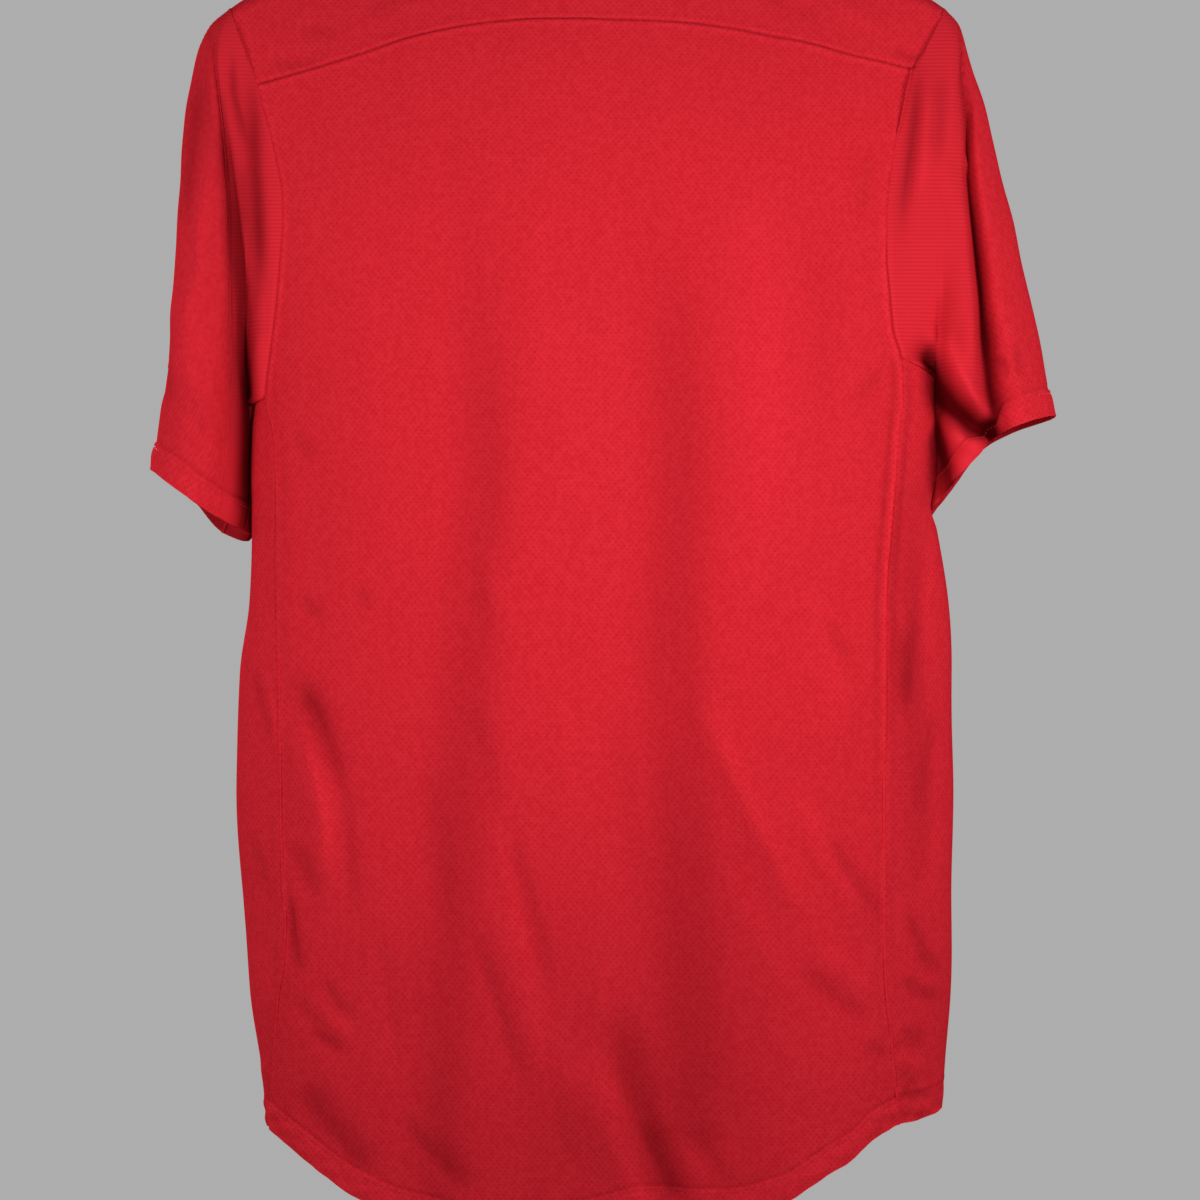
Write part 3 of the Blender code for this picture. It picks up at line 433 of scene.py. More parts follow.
# The smaller creases that the solids leave out.
BODY_CREASES = {
    Face.BACK: (
        Fold(-1.7, 5, ((179, -503), (171, -511), (162, -518))),
        Fold(-1.3, 5, ((145, -497), (139, -505), (132, -513))),
        Fold(-1.9, 5, ((179, -556), (166, -574), (159, -594))),
        Fold(1.9, 4.5, ((179, -569), (168, -604), (160, -644), (157, -681))),
        Fold(-1.7, 4.5, ((165, -575), (150, -626), (145, -675), (144, -710))),
        Fold(-1.9, 6, ((183, -650), (174, -670), (165, -693))),
        Fold(-2.2, 3.4, ((184, -682), (181.5, -708), (176.5, -742))),
        Fold(-2.1, 4.2, ((173, -768), (161, -776), (146, -784))),
        Fold(-1.6, 4.2, ((165, -734), (154, -753), (140, -765))),
        Fold(1.3, 4.5, ((173, -749), (157, -764), (137, -777))),
        Fold(-1.2, 6, ((186, -745), (172, -760), (150, -768))),
        Fold(1.6, 8, ((66, -462), (60, -492), (50, -524))),
        Fold(-1.3, 7, ((74, -560), (62, -600), (55, -650))),
        Fold(1.2, 8, ((24, -520), (14, -580), (10, -650), (14, -710))),
        Fold(-1.2, 6, ((98, -600), (88, -660), (84, -720))),
        Fold(1.3, 7, ((108, -640), (100, -700), (100, -770))),
        Fold(-1.5, 6, ((128, -700), (120, -750), (112, -800))),
        Fold(-2.3, 5, ((-126, -727), (-150, -747), (-180, -768))),
        Fold(-2.2, 4.5, ((-145, -645), (-165, -675), (-187, -711))),
        Fold(-1.5, 4.5, ((-142, -511), (-154, -531), (-167, -547))),
        Fold(-1.9, 4.5, ((50, -635), (38, -679), (24, -728), (17, -763))),
        Fold(1.4, 4.5, ((62, -626), (48, -679), (33, -732), (25, -767))),
        Fold(-1.7, 4.5, ((117, -816), (98, -840), (69, -873))),
        Fold(-1.5, 4.5, ((75, -698), (61, -732), (50, -768), (35, -810))),
        Fold(2.2, 4.5, ((-9, -785), (-20, -813), (-34, -836), (-54, -872))),
        Fold(-2.8, 5, ((-29, -816), (-44, -847), (-62, -880))),
        Fold(1.8, 4.5, ((-40, -802), (-55, -836), (-76, -864))),
        Fold(-1.6, 5, ((-65, -824), (-76, -847), (-93, -872))),
        Fold(1.5, 5, ((-140, -716), (-160, -733), (-184, -752))),
        Fold(-1.4, 6, ((-98, -640), (-124, -690), (-148, -724))),
        Fold(1.2, 6, ((-76, -660), (-104, -712), (-134, -762))),
        Fold(-1.5, 5, ((-170, -776), (-182, -786), (-188, -790))),
        Fold(-1.2, 8, ((-16, -560), (-26, -640), (-34, -720))),
        Fold(1.3, 7, ((-6, -700), (-10, -760), (-24, -830))),
        Fold(-1.3, 6, ((28, -760), (18, -810), (6, -862))),
        Fold(-1.2, 6, ((96, -830), (82, -850), (62, -868))),
        Fold(1, 6, ((-70, -800), (-84, -832), (-92, -862))),
        Fold(-1.1, 9, ((-140, -250), (-148, -330), (-146, -410))),
        Fold(1, 9, ((30, -230), (32, -310), (34, -400))),
        Fold(-1.2, 6, ((-178, -215), (-172, -240), (-170, -280))),
        Fold(-1.3, 5, ((184, -400), (176, -412), (166, -420))),
        Fold(-1.4, 5, ((-184, -360), (-176, -372), (-166, -388))),
    ),
    Face.FRONT: (
        Fold(-1.6, 5, ((-178, -508), (-168, -518), (-156, -524))),
        Fold(-1.7, 5, ((-176, -566), (-164, -586), (-158, -606))),
        Fold(1.4, 5, ((-172, -590), (-162, -630), (-158, -676))),
        Fold(1.5, 8, ((-60, -440), (-54, -480), (-46, -520))),
        Fold(-1.4, 7, ((84, -560), (74, -620), (68, -690))),
        Fold(1.3, 8, ((28, -520), (20, -600), (16, -690))),
        Fold(-1.6, 6, ((128, -660), (148, -700), (166, -730))),
        Fold(1.4, 6, ((118, -700), (142, -738), (164, -762))),
        Fold(-1.8, 6, ((-120, -730), (-142, -752), (-166, -770))),
        Fold(1.3, 7, ((-20, -680), (-28, -750), (-40, -820))),
        Fold(-1.4, 6, ((30, -740), (36, -790), (44, -836))),
        Fold(-1.6, 7, ((60, -196), (46, -224), (38, -262))),
        Fold(-1.6, 7, ((-58, -198), (-46, -226), (-40, -268))),
        Fold(-1.2, 5, ((182, -410), (172, -424), (160, -434))),
    ),
}
SIDE_CREASES = {
    Side.LEFT: (
        Fold(-1.5, 4, ((206, -540), (198, -568), (191, -596))),
        Fold(-1.2, 4.5, ((210, -640), (200, -664), (192, -690))),
        Fold(1, 5, ((208, -700), (198, -730), (192, -756))),
        Fold(-1.2, 5, ((202, -790), (196, -806), (190, -816))),
    ),
    Side.RIGHT: (
        Fold(-3.4, 11, ((199, -400), (195, -480), (196, -580), (201, -700))),
        Fold(2.2, 9, ((214, -420), (212, -520), (216, -640), (216, -740))),
        Fold(-1.3, 4, ((190, -516), (192, -546), (194, -576))),
        Fold(-1.6, 5, ((201, -500), (196, -535), (192, -580))),
        Fold(1.4, 6, ((216, -450), (208, -500), (204, -560))),
        Fold(-1.6, 6, ((218, -560), (208, -596), (200, -640))),
        Fold(1.3, 7, ((222, -620), (212, -660), (206, -700))),
        Fold(-2.2, 4.5, ((192, -688), (206, -721), (222, -736))),
        Fold(-1.9, 4, ((185, -732), (205, -744), (223, -750))),
        Fold(-1.7, 5, ((190, -763), (200, -770), (210, -774))),
        Fold(-1.7, 5.5, ((188, -786), (196, -795), (205, -803))),
        Fold(-1.4, 3.2, ((186, -804), (200, -808), (214, -808))),
        Fold(-1.6, 5, ((192, -814), (200, -819), (210, -819))),
        Fold(1.3, 5, ((186, -778), (198, -784), (212, -788))),
    ),
}
YOKE_CREASES = (
    Fold(-1.3, 5, ((181, -147), (170, -149), (154, -150))),
    Fold(-1.4, 4, ((202, -167), (184, -170), (164, -170))),
    Fold(-1.5, 4, ((-188, -160), (-199, -164), (-209, -170))),
    Fold(1.1, 5, ((-150, -128), (-168, -140), (-186, -152))),
    Fold(-1.1, 6, ((100, -112), (118, -126), (142, -138))),
    Fold(-1, 6, ((-96, -112), (-120, -128), (-150, -150))),
)


@dataclass(frozen=True)
class Torso:
    """The hung body of the jersey: a rounded loop of cloth that closes over the hanger."""

    armpit: dict[Side, float] = field(default_factory=lambda: {Side.LEFT: -379, Side.RIGHT: -355})
    underarm_dip: dict[Side, float] = field(default_factory=lambda: {Side.LEFT: 3, Side.RIGHT: 11})
    side_hem_rise: dict[Side, float] = field(default_factory=lambda: {Side.LEFT: 1, Side.RIGHT: 5})
    yoke_corner: dict[Side, float] = field(default_factory=lambda: {Side.LEFT: -184.6, Side.RIGHT: -175})
    shoulder_tip: Spot = Spot(222.5, -134.5)
    neck_half_width: float = 86
    back_neck_drop: float = 23
    front_yoke_neck: Spot = Spot(72, -130)
    front_neck_drop: float = 47
    roundness: float = 2.4
    opening_drop: float = 70
    opening_power: float = 1.2
    arch: float = 9.0
    fold_free_drop: float = 60
    fold_gain: float = 1.35

    def ridge(self, x: Numbers) -> Array:
        """Height of the cloth over the hanger."""
        return RIDGE.read("z", np.abs(x))

    def edge(self, z: Numbers, side: Side) -> Array:
        """x of the side edge of the back and front."""
        return EDGES.read(side.word, z)

    def half_width(self, z: Numbers, side: Side) -> Array:
        """How far the loop reaches to a side."""
        return LEVELS.read(side.word, z)

    def loop_depth(self, x: Numbers, z: Numbers, face: Face) -> Array:
        """Depth of the rounded loop at points (x, z), with no hanger and no folds."""
        x, z = np.broadcast_arrays(np.asarray(x, float), np.asarray(z, float))
        half = np.where(x >= 0, self.half_width(z, Side.LEFT), self.half_width(z, Side.RIGHT))
        full = LEVELS.read(face.name.lower(), z)
        share = np.clip(np.abs(x) / half, 0, 1)
        return full * (1 - share**self.roundness) ** (1 / self.roundness)

    def depth(self, x: Numbers, z: Numbers, face: Face, folds: Optional[Iterable[Fold]] = None) -> Array:
        """y of the cloth at points (x, z) of the back or front.

        Args:
            x: Places across the garment.
            z: Heights.
            face: The back or the front.
            folds: The folds there, which are all of the body's main ones if not given.

        Returns:
            The points' y.
        """
        drop = np.maximum(self.ridge(x) - z, 0)
        turn = np.clip(drop / self.arch, 0, 1)
        over_hanger = self.arch * np.sqrt(turn * (2 - turn))
        opened = 1 - np.exp(-((drop / self.opening_drop) ** self.opening_power))
        parted = np.maximum(self.loop_depth(x, z, face) - self.arch, 0) * opened
        shown = self.fold_gain * relief(BODY_FOLDS[face] if folds is None else folds, x, z)
        shown *= ease(drop / self.fold_free_drop)
        return face.value * (over_hanger + parted + shown)

    def place(self, xz: Array, face: Face) -> Array:
        """Puts points (x, z) on the back or front."""
        x, z = xz[..., 0], xz[..., 1]
        return np.stack([x, self.depth(x, z, face), z], axis=-1)

    def hem_corner(self, side: Side, face: Face) -> float:
        """Height of the hem at a side seam."""
        rows = HEMS[face].rows
        return rows[-1].z if side is Side.LEFT else rows[0].z

    def edge_line(self, side: Side, start: float, end: float, climb: Array) -> Array:
        """Points (x, z) of the side edge, at shares of the way from one height to another."""
        z = mix(start, end, climb)
        return np.stack([self.edge(z, side), z], axis=-1)

    def side_line(self, side: Side, face: Face, climb: Array) -> Array:
        """Points (x, z) of the side seam, at shares of the way from the hem to the armpit."""
        return self.edge_line(side, self.hem_corner(side, face), self.armpit[side], climb)

    def arm_line(self, side: Side, climb: Array) -> Array:
        """Points (x, z) of the armhole's edge, from the armpit to the yoke's corner."""
        return self.edge_line(side, self.armpit[side], self.yoke_corner[side], climb)

    def corner(self, side: Side) -> Array:
        """The point (x, z) of the yoke's corner."""
        return np.array([self.edge(self.yoke_corner[side], side), self.yoke_corner[side]])

    def yoke_line(self, across: Array) -> Array:
        """Points (x, z) of the back yoke seam, from the wearer's left to right."""
        x = mix(YOKE_SEAM.rows[-1].x, YOKE_SEAM.rows[0].x, across)
        line = np.stack([x, YOKE_SEAM.read("z", x)], axis=-1)
        line[0], line[-1] = self.corner(Side.LEFT), self.corner(Side.RIGHT)
        return line

    def front_top(self, shoulder: Array, neck: Array) -> Array:
        """Points (x, z) of the front's top edge: shoulder seam, neckline and shoulder seam.

        Args:
            shoulder: Shares of the way from the armhole to the neck.
            neck: Shares of the way round the neckline.

        Returns:
            The line's points, from the wearer's left to right.
        """
        spot = self.front_yoke_neck
        turn = pi * neck
        line = np.stack([spot.x * np.cos(turn), spot.z - self.front_neck_drop * np.sin(turn)], axis=-1)
        left = mix(self.corner(Side.LEFT), line[0], shoulder[:, None])
        right = mix(self.corner(Side.RIGHT), line[-1], shoulder[:, None])
        return np.concatenate([left, line[1:-1], right[::-1]])

    def front_neck_x(self, climb: Array) -> Array:
        """How far the neck's edge reaches out before the ridge, at shares of the way up to it."""
        return mix(self.front_yoke_neck.x, self.neck_half_width, np.sqrt(climb))

    def back_neckline(self, neck: Array) -> Array:
        """Points (x, z) of the back neckline at shares of the way from left to right."""
        turn = pi * neck
        top = self.ridge(self.neck_half_width)
        z = top - self.back_neck_drop * np.sin(turn)
        return np.stack([self.neck_half_width * np.cos(turn), z], axis=-1)


TORSO = Torso()


def patch(bottom: Array, top: Array, left: Array, right: Array) -> Array:
    """A grid between four border lines of (x, z) points.

    Args:
        bottom: The lowest row, from the wearer's left to right.
        top: The highest row.
        left: The left column, from the lowest row up.
        right: The right column.

    Returns:
        The grid of points (x, z), rows running up.
    """
    u = np.abs(bottom[:, 0] - bottom[0, 0]) / abs(bottom[-1, 0] - bottom[0, 0])
    u = u[None, :, None]
    v = ((left[:, 1] - left[0, 1]) / (left[-1, 1] - left[0, 1]))[:, None, None]
    borders = mix(bottom[None], top[None], v) + mix(left[:, None], right[:, None], u)
    return borders - mix(mix(left[0], right[0], u), mix(left[-1], right[-1], u), v)


# -------- sizes of the sleeves
RINGS = {
    Side.LEFT: Table(
        Ring(0.00, 222.5, -134.5, 208, -382, 22, 32, 30),
        Ring(0.05, 236, -146, 215, -382, 19, 34, 31),
        Ring(0.10, 243.5, -162, 217.5, -385, 17, 33, 31),
        Ring(0.25, 252, -207, 217, -400, 12, 28, 30),
        Ring(0.45, 256, -266, 214.5, -418, 6, 28, 34),
        Ring(0.65, 259.5, -320, 214.5, -427, 3, 32, 39),
        Ring(0.80, 263.5, -364, 215.5, -434, 3, 35, 42),
        Ring(0.94, 269.2, -409, 218.8, -449, 2, 36, 44),
        Ring(1.00, 272, -423, 221.4, -463, 1, 36, 45),
    ),
    Side.RIGHT: Table(
        Ring(0.00, 222.5, -134.5, 216.8, -366, 24, 32, 30),
        Ring(0.05, 232.5, -146, 224, -366, 20, 36, 32),
        Ring(0.10, 237.5, -163, 226, -369, 17, 36, 32),
        Ring(0.25, 250, -204, 225, -384, 14, 35, 31),
        Ring(0.45, 262, -254, 223, -401, 12, 38, 34),
        Ring(0.65, 274, -305, 223, -414, 13, 40, 38),
        Ring(0.80, 281.5, -338, 222.8, -426, 14, 40, 41),
        Ring(0.94, 288.8, -376, 222.8, -439.5, 15, 39, 43),
        Ring(1.00, 292, -390, 223, -453, 16, 38, 44),
    ),
}
TURNS = {
    Side.LEFT: Table(
        Turn(0.00, 0, 180, 0, 12),
        Turn(0.05, 26, 180, 2, 14),
        Turn(0.10, 56, 184, 3, 14),
        Turn(0.18, 78, 192, 3, 14),
        Turn(0.30, 98, 204, 3, 14),
        Turn(0.45, 112, 218, 3, 14),
        Turn(1.00, 122, 240, 1, 12),
    ),
    Side.RIGHT: Table(
        Turn(0.00, 0, 180, 0, 9),
        Turn(0.05, 14, 180, 3, 9),
        Turn(0.10, 32, 181, 5.5, 9),
        Turn(0.18, 41, 183, 9, 9),
        Turn(0.25, 53, 185, 13, 9),
        Turn(0.45, 64, 190, 17, 9),
        Turn(0.80, 76, 198, 18, 10),
        Turn(1.00, 80, 204, 17, 10),
    ),
}
SLEEVE_FOLDS = {
    Side.LEFT: {
        Face.BACK: (
            Fold(4, 12, ((240, -190), (242, -280), (246, -360), (246, -430))),
            Fold(-4, 6, ((238, -160), (243, -200), (247, -235), (250, -285))),
            Fold(-11, 7.5, ((229, -172), (227, -200), (224.5, -221), (219.5, -244), (216, -282),
                            (213.5, -320), (212.5, -400), (211, -432), (210.5, -456)), "s"),
            Fold(-6, 5, ((216, -165), (209, -182), (207, -205), (206, -237), (204, -268), (201, -330))),
            Fold(-2.5, 2.6, ((221, -160), (219.5, -188), (214, -212), (209, -229))),
            Fold(3, 5, ((204.5, -336), (204, -352), (203.5, -378)), "s"),
            Fold(-3, 5, ((215, -330), (213, -370), (210, -410), (208, -440), (208, -470))),
        ),
        Face.FRONT: (Fold(-8, 14, ((224, -190), (222, -260), (218, -330), (214, -400))),),
    },
    Side.RIGHT: {
        Face.BACK: (
            Fold(5, 5, ((206, -338), (220, -346), (228, -362), (237, -378), (250, -392)), "s"),
            Fold(-17, 7.5, ((198, -343), (211, -356), (218, -372),
                            (226, -384), (240, -398), (252, -404)), "s"),
            Fold(7, 7, ((228, -404), (236, -407), (244, -411)), "n"),
            Fold(6, 6, ((236, -408), (233, -424), (228, -444))),
            Fold(-9, 4.5, ((215, -392), (220, -408), (225, -424), (228, -440)), "n"),
            Fold(-3.2, 3.4, ((208, -160), (204.5, -186), (202, -210),
                             (198.5, -236), (195, -262), (193, -290))),
            Fold(2.4, 4, ((214, -166), (210, -200), (207, -236), (202, -268))),
            Fold(-2.2, 6, ((216, -165), (216, -200), (214, -240))),
        ),
        Face.FRONT: (Fold(-8, 14, ((228, -200), (234, -270), (242, -330), (248, -400))),),
    },
}
SLEEVE_CREASES = {
    Side.LEFT: {
        Face.BACK: (
            Fold(2.1, 1.7, ((224, -185), (222.5, -203), (218, -229), (214, -258),
                            (210.5, -285), (207.5, -318), (206, -345))),
            Fold(1.3, 6, ((250, -300), (252, -340), (256, -390))),
            Fold(-1.4, 5, ((258, -320), (260, -356), (262, -390))),
            Fold(-1.3, 5, ((266, -352), (262, -372), (256, -386))),
            Fold(-1.2, 4.5, ((246, -372), (240, -392), (232, -408))),
        ),
        Face.FRONT: (
            Fold(-1.6, 5, ((246, -230), (244, -290), (246, -350))),
            Fold(1.5, 6, ((234, -250), (234, -320), (236, -400))),
            Fold(-1.5, 5, ((256, -320), (258, -360), (262, -400))),
            Fold(-3, 6, ((244, -452), (230, -464), (214, -470)), "n"),
        ),
    },
    Side.RIGHT: {
        Face.BACK: (
            Fold(-1.3, 3.4, ((253, -352), (258, -362), (262, -368))),
            Fold(-1.2, 3.4, ((262, -342), (267, -356), (270, -372))),
            Fold(1.2, 4, ((256, -330), (262, -346), (268, -356))),
            Fold(1.4, 1.2, ((233, -228), (235, -236), (237.5, -244))),
        ),
        Face.FRONT: (
            Fold(-1.6, 5, ((254, -240), (262, -300), (270, -350))),
            Fold(1.5, 6, ((244, -260), (252, -320), (260, -380))),
            Fold(-1.5, 5, ((240, -340), (250, -372), (262, -392))),
        ),
    },
}


# -------- shading
class Value:
    """A number socket of a shader, on which Python's operators build Math nodes."""

    def __init__(self, shader: Shader, socket: Socket) -> None:
        """Wraps an output socket of a node in the shader's tree."""
        self.shader, self.socket = shader, socket

    def _with(self, operation: str, *others: Term, swap: bool = False) -> Value:
        """Adds a Math node on this value and others."""
        given = [self, *others]
        if swap:
            given.reverse()
        node = self.shader.node("ShaderNodeMath", {"operation": operation}, dict(enumerate(given)))
        return Value(self.shader, node.outputs[0])

    def __add__(self, other: Term) -> Value:
        """Adds."""
        return self._with("ADD", other)

    __radd__ = __add__

    def __sub__(self, other: Term) -> Value:
        """Takes another value from this one."""
        return self._with("SUBTRACT", other)

    def __rsub__(self, other: Term) -> Value:
        """Takes this value from another."""
        return self._with("SUBTRACT", other, swap=True)

    def __mul__(self, other: Term) -> Value:
        """Multiplies."""
        return self._with("MULTIPLY", other)

    __rmul__ = __mul__

    def cosine(self) -> Value:
        """The cosine."""
        return self._with("COSINE")

    def wave(self, pitch: float) -> Value:
        """A wave along this distance, from -1 to 1, with a crest at 0."""
        return (self * (2 * pi / pitch)).cosine()

    def ribs(self, pitch: float) -> Value:
        """Ribs along this distance, from 0 to 1, with a crest at 0."""
        return self.wave(pitch) * 0.5 + 0.5

    def step(self, low: float, high: float) -> Value:
        """Goes smoothly from 0 at low to 1 at high."""
        settings = {"interpolation_type": "SMOOTHSTEP"}
        inputs = {"Value": self, "From Min": low, "From Max": high}
        return Value(self.shader, self.shader.node("ShaderNodeMapRange", settings, inputs).outputs[0])


class Grain(NamedTuple):
    """Smooth noise over a piece, and the levels that stand for none and for all of it."""

    scale: float
    detail: float
    levels: Span = Span(0.0, 1.0)


class Shader:
    """A material's node tree round its Principled BSDF."""

    def __init__(self, name: str) -> None:
        """Makes the material."""
        self.material = bpy.data.materials.new(name)
        self.material.use_nodes = True
        self.tree = self.material.node_tree
        self.surface = self.tree.nodes["Principled BSDF"]

    def node(
        self, kind: str, settings: Optional[dict] = None, inputs: Optional[dict] = None
    ) -> bpy.types.Node:
        """Adds a node.

        Args:
            kind: The node's type.
            settings: Its properties, set first.
            inputs: Values or links for its sockets, by name or number.

        Returns:
            The node.
        """
        made = self.tree.nodes.new(kind)
        for key, value in (settings or {}).items():
            setattr(made, key, value)
        for key, value in (inputs or {}).items():
            self.feed(made.inputs[key], value)
        return made

    def feed(self, socket: Socket, value: object) -> None:
        """Gives a socket a number or colour, or links it to a Value or an output socket."""
        if isinstance(value, Value):
            value = value.socket
        if isinstance(value, Socket):
            self.tree.links.new(value, socket)
        else:
            socket.default_value = value

    def set(self, **inputs: object) -> None:
        """Feeds the surface's own sockets, whose names have _ for a space."""
        for key, value in inputs.items():
            self.feed(self.surface.inputs[key.replace("_", " ")], value)

    def set_cloth(self, **inputs: object) -> None:
        """Feeds the surface of matt cloth, which has a faint nap of its own colour."""
        self.set(Sheen_Weight=0.03, Sheen_Tint=RED_NAP, Specular_IOR_Level=0.0, **inputs)

    def cloth_place(self) -> tuple[Value, Value]:
        """How far a point lies across and along its flat piece, in millimetres."""
        spot = self.node("ShaderNodeUVMap", {"uv_map": CLOTH_MAP})
        parts = self.node("ShaderNodeSeparateXYZ", inputs={0: spot.outputs[0]}).outputs
        return (Value(self, parts["X"]) * (1 / MM), Value(self, parts["Y"]) * (1 / MM))

    def toned(self, colour: object) -> Socket:
        """Mixes a colour towards the painted shade colour by the piece's painted shade attribute."""
        share = self.node("ShaderNodeAttribute", {"attribute_name": SHADE_MAP}).outputs["Fac"]
        return self.blend(Value(self, share), colour, PAINTED_SHADE_RED)

    def place(self) -> Socket:
        """A point's place on the object, in metres."""
        return self.node("ShaderNodeTexCoord").outputs["Object"]

    def noise(self, grain: Grain) -> Value:
        """Smooth noise over the piece, about 0.5."""
        inputs = {"Vector": self.place(), "Scale": grain.scale, "Detail": grain.detail}
        return Value(self, self.node("ShaderNodeTexNoise", inputs=inputs).outputs[0])

    def patches(self, grain: Grain) -> Value:
        """Soft patches over the piece, from 0 to 1."""
        return self.noise(grain).step(*grain.levels)

    def blend(self, share: Value, low: object, high: object) -> Socket:
        """Goes from one colour to another."""
        made = self.node("ShaderNodeMix", {"data_type": "RGBA", "clamp_factor": True})
        colours = [s for s in made.inputs if s.type == "RGBA"]
        self.feed(made.inputs["Factor"], share)
        for socket, colour in zip(colours, (low, high)):
            self.feed(socket, (*colour, 1.0) if isinstance(colour, tuple) else colour)
        return next(s for s in made.outputs if s.type == "RGBA")

    def bump(self, height: Value, distance: float, under: Optional[Socket] = None) -> Socket:
        """Turns a height into a normal, over another bump if one is given."""
        inputs = {"Height": height, "Distance": distance, "Strength": 1.0}
        if under is not None:
            inputs["Normal"] = under
        return self.node("ShaderNodeBump", inputs=inputs).outputs[0]


CLOTH_MAP = "cloth"
# The name of each piece's attribute of painted shade.
SHADE_MAP = "tone"
# The painted shade colour: the knit as it looks in shade in the hollow of a deep fold.
PAINTED_SHADE_RED = (0.07, 0.0004, 0.0014)  # the knit in the hollow of a deep fold
RED_NAP = (1.0, 0.08, 0.11, 1.0)  # the tint of the cloth's nap


class Finish(ABC):
    """A finish that a material is made from.

    Attributes:
        name: The material's name.
        slot: The name of its material slot, which is not used.
    """

    name: str
    slot: str

    def material(self) -> bpy.types.Material:
        """Makes the material."""
        shader = Shader(self.name)
        self.dress(shader)
        return shader.material

    @abstractmethod
    def dress(self, shader: Shader) -> None:
        """Feeds the surface's colour, roughness and normal."""


@dataclass(frozen=True)
class BirdseyeKnit(Finish):
    """Sports knit with small dark pores in staggered rows."""

    name: str = "birdseye_knit"
    slot: str = "knit"
    thread: Colour = (0.70, 0.0182, 0.0315)
    pale: Colour = (0.77, 0.0252, 0.0405)
    pore: Colour = (0.30, 0.004, 0.009)
    pore_share: float = 0.21
    pore_pitch: float = 3.6
    pore_edge: Span = Span(0.25, 0.85)
    pore_depth: float = 0.00010
    row_pitch: float = 2.1
    loops_per_pore: int = 3
    loop_depth: float = 0.00003
    mottle: Grain = Grain(320.0, 3.0, Span(0.3, 0.7))
    opening: Grain = Grain(110.0, 2.0, Span(0.25, 0.75))
    least_open: float = 0.65
    more_open: float = 0.7
    roughness: float = 0.66
    nap_roughness: float = 0.4

    def dress(self, shader: Shader) -> None:
        """Feeds the surface's colour, roughness and normal."""
        across, along = shader.cloth_place()
        waves = across.wave(self.pore_pitch) * along.wave(2 * self.row_pitch)
        pores = waves.step(*self.pore_edge)
        loops = across.ribs(self.pore_pitch / self.loops_per_pore)
        cloth = shader.blend(shader.patches(self.mottle), self.thread, self.pale)
        openness = shader.patches(self.opening) * self.more_open + self.least_open
        # The knit's colour takes the piece's painted shade in folds and seams.
        shader.set_cloth(
            Base_Color=shader.toned(shader.blend(pores * openness * self.pore_share, cloth, self.pore)),
            Roughness=self.roughness,
            Sheen_Roughness=self.nap_roughness,
            Normal=shader.bump(1.0 - pores, self.pore_depth, shader.bump(loops, self.loop_depth)),
        )


@dataclass(frozen=True)
class WaffleMesh(Finish):
    """Airy mesh with fine ribs across it and a fainter square grid, plainer towards the cuff."""

    name: str = "waffle_mesh"
    slot: str = "mesh"
    thread: Colour = (0.77, 0.0245, 0.0405)
    hollow: Colour = (0.67, 0.0190, 0.0315)
    thread_edge: Span = Span(0.0, 0.9)
    rib_pitch: float = 2.4
    column_pitch: float = 2.4
    square_patches: Grain = Grain(28.0, 1.0, Span(0.45, 0.6))
    square_share: float = 0.4
    plain_below: Span = Span(-400, -345)
    plain_share: float = 0.8
    plain_level: float = 0.5
    depth: float = 0.00010
    roughness: float = 0.66
    nap_roughness: float = 0.4

    def dress(self, shader: Shader) -> None:
        """Feeds the surface's colour, roughness and normal."""
        across, along = shader.cloth_place()
        ribs, columns = along.ribs(self.rib_pitch), across.ribs(self.column_pitch)
        squares = shader.patches(self.square_patches) * self.square_share
        plain = 1.0 - along.step(*self.plain_below)
        woven = ribs * (1.0 - squares) + columns * squares
        height = woven * (1.0 - plain * self.plain_share) + plain * self.plain_level
        colour = shader.blend(height.step(*self.thread_edge), self.hollow, self.thread)
        # The mesh's colour takes the piece's painted shade in folds and seams.
        shader.set_cloth(
            Base_Color=shader.toned(colour),
            Roughness=self.roughness,
            Sheen_Roughness=self.nap_roughness,
            Normal=shader.bump(height, self.depth),
        )


@dataclass(frozen=True)
class CollarRib(Finish):
    """Knit rib whose ridges run up the collar."""

    name: str = "collar_rib"
    slot: str = "rib"
    thread: Colour = (0.60, 0.011, 0.022)
    hollow: Colour = (0.26, 0.003, 0.008)
    thread_edge: Span = Span(0.05, 0.6)
    rib_pitch: float = 2.2
    loop_pitch: float = 1.1
    loop_share: float = 0.15
    depth: float = 0.00035
    roughness: float = 0.7

    def dress(self, shader: Shader) -> None:
        """Feeds the surface's colour, roughness and normal."""
        across, along = shader.cloth_place()
        ribs, loops = across.ribs(self.rib_pitch), along.ribs(self.loop_pitch)
        shader.set_cloth(
            Base_Color=shader.blend(ribs.step(*self.thread_edge), self.hollow, self.thread),
            Roughness=self.roughness,
            Normal=shader.bump(ribs + loops * self.loop_share, self.depth),
        )


@dataclass(frozen=True)
class SewingThread(Finish):
    """Tonal polyester thread with a slight lustre."""

    name: str = "sewing_thread"
    slot: str = "knit"
    colour: Colour = (0.66, 0.014, 0.030)
    hollow: Colour = (0.5, 0.009, 0.018)
    twist: Grain = Grain(2500.0, 1.0, Span(0.3, 0.7))
    roughness: float = 0.42
    lustre: float = 0.4

    def dress(self, shader: Shader) -> None:
        """Feeds the surface's colour, roughness and lustre."""
        colour = shader.blend(shader.patches(self.twist), self.hollow, self.colour)
        shader.set(Base_Color=colour, Roughness=self.roughness, Specular_IOR_Level=self.lustre)


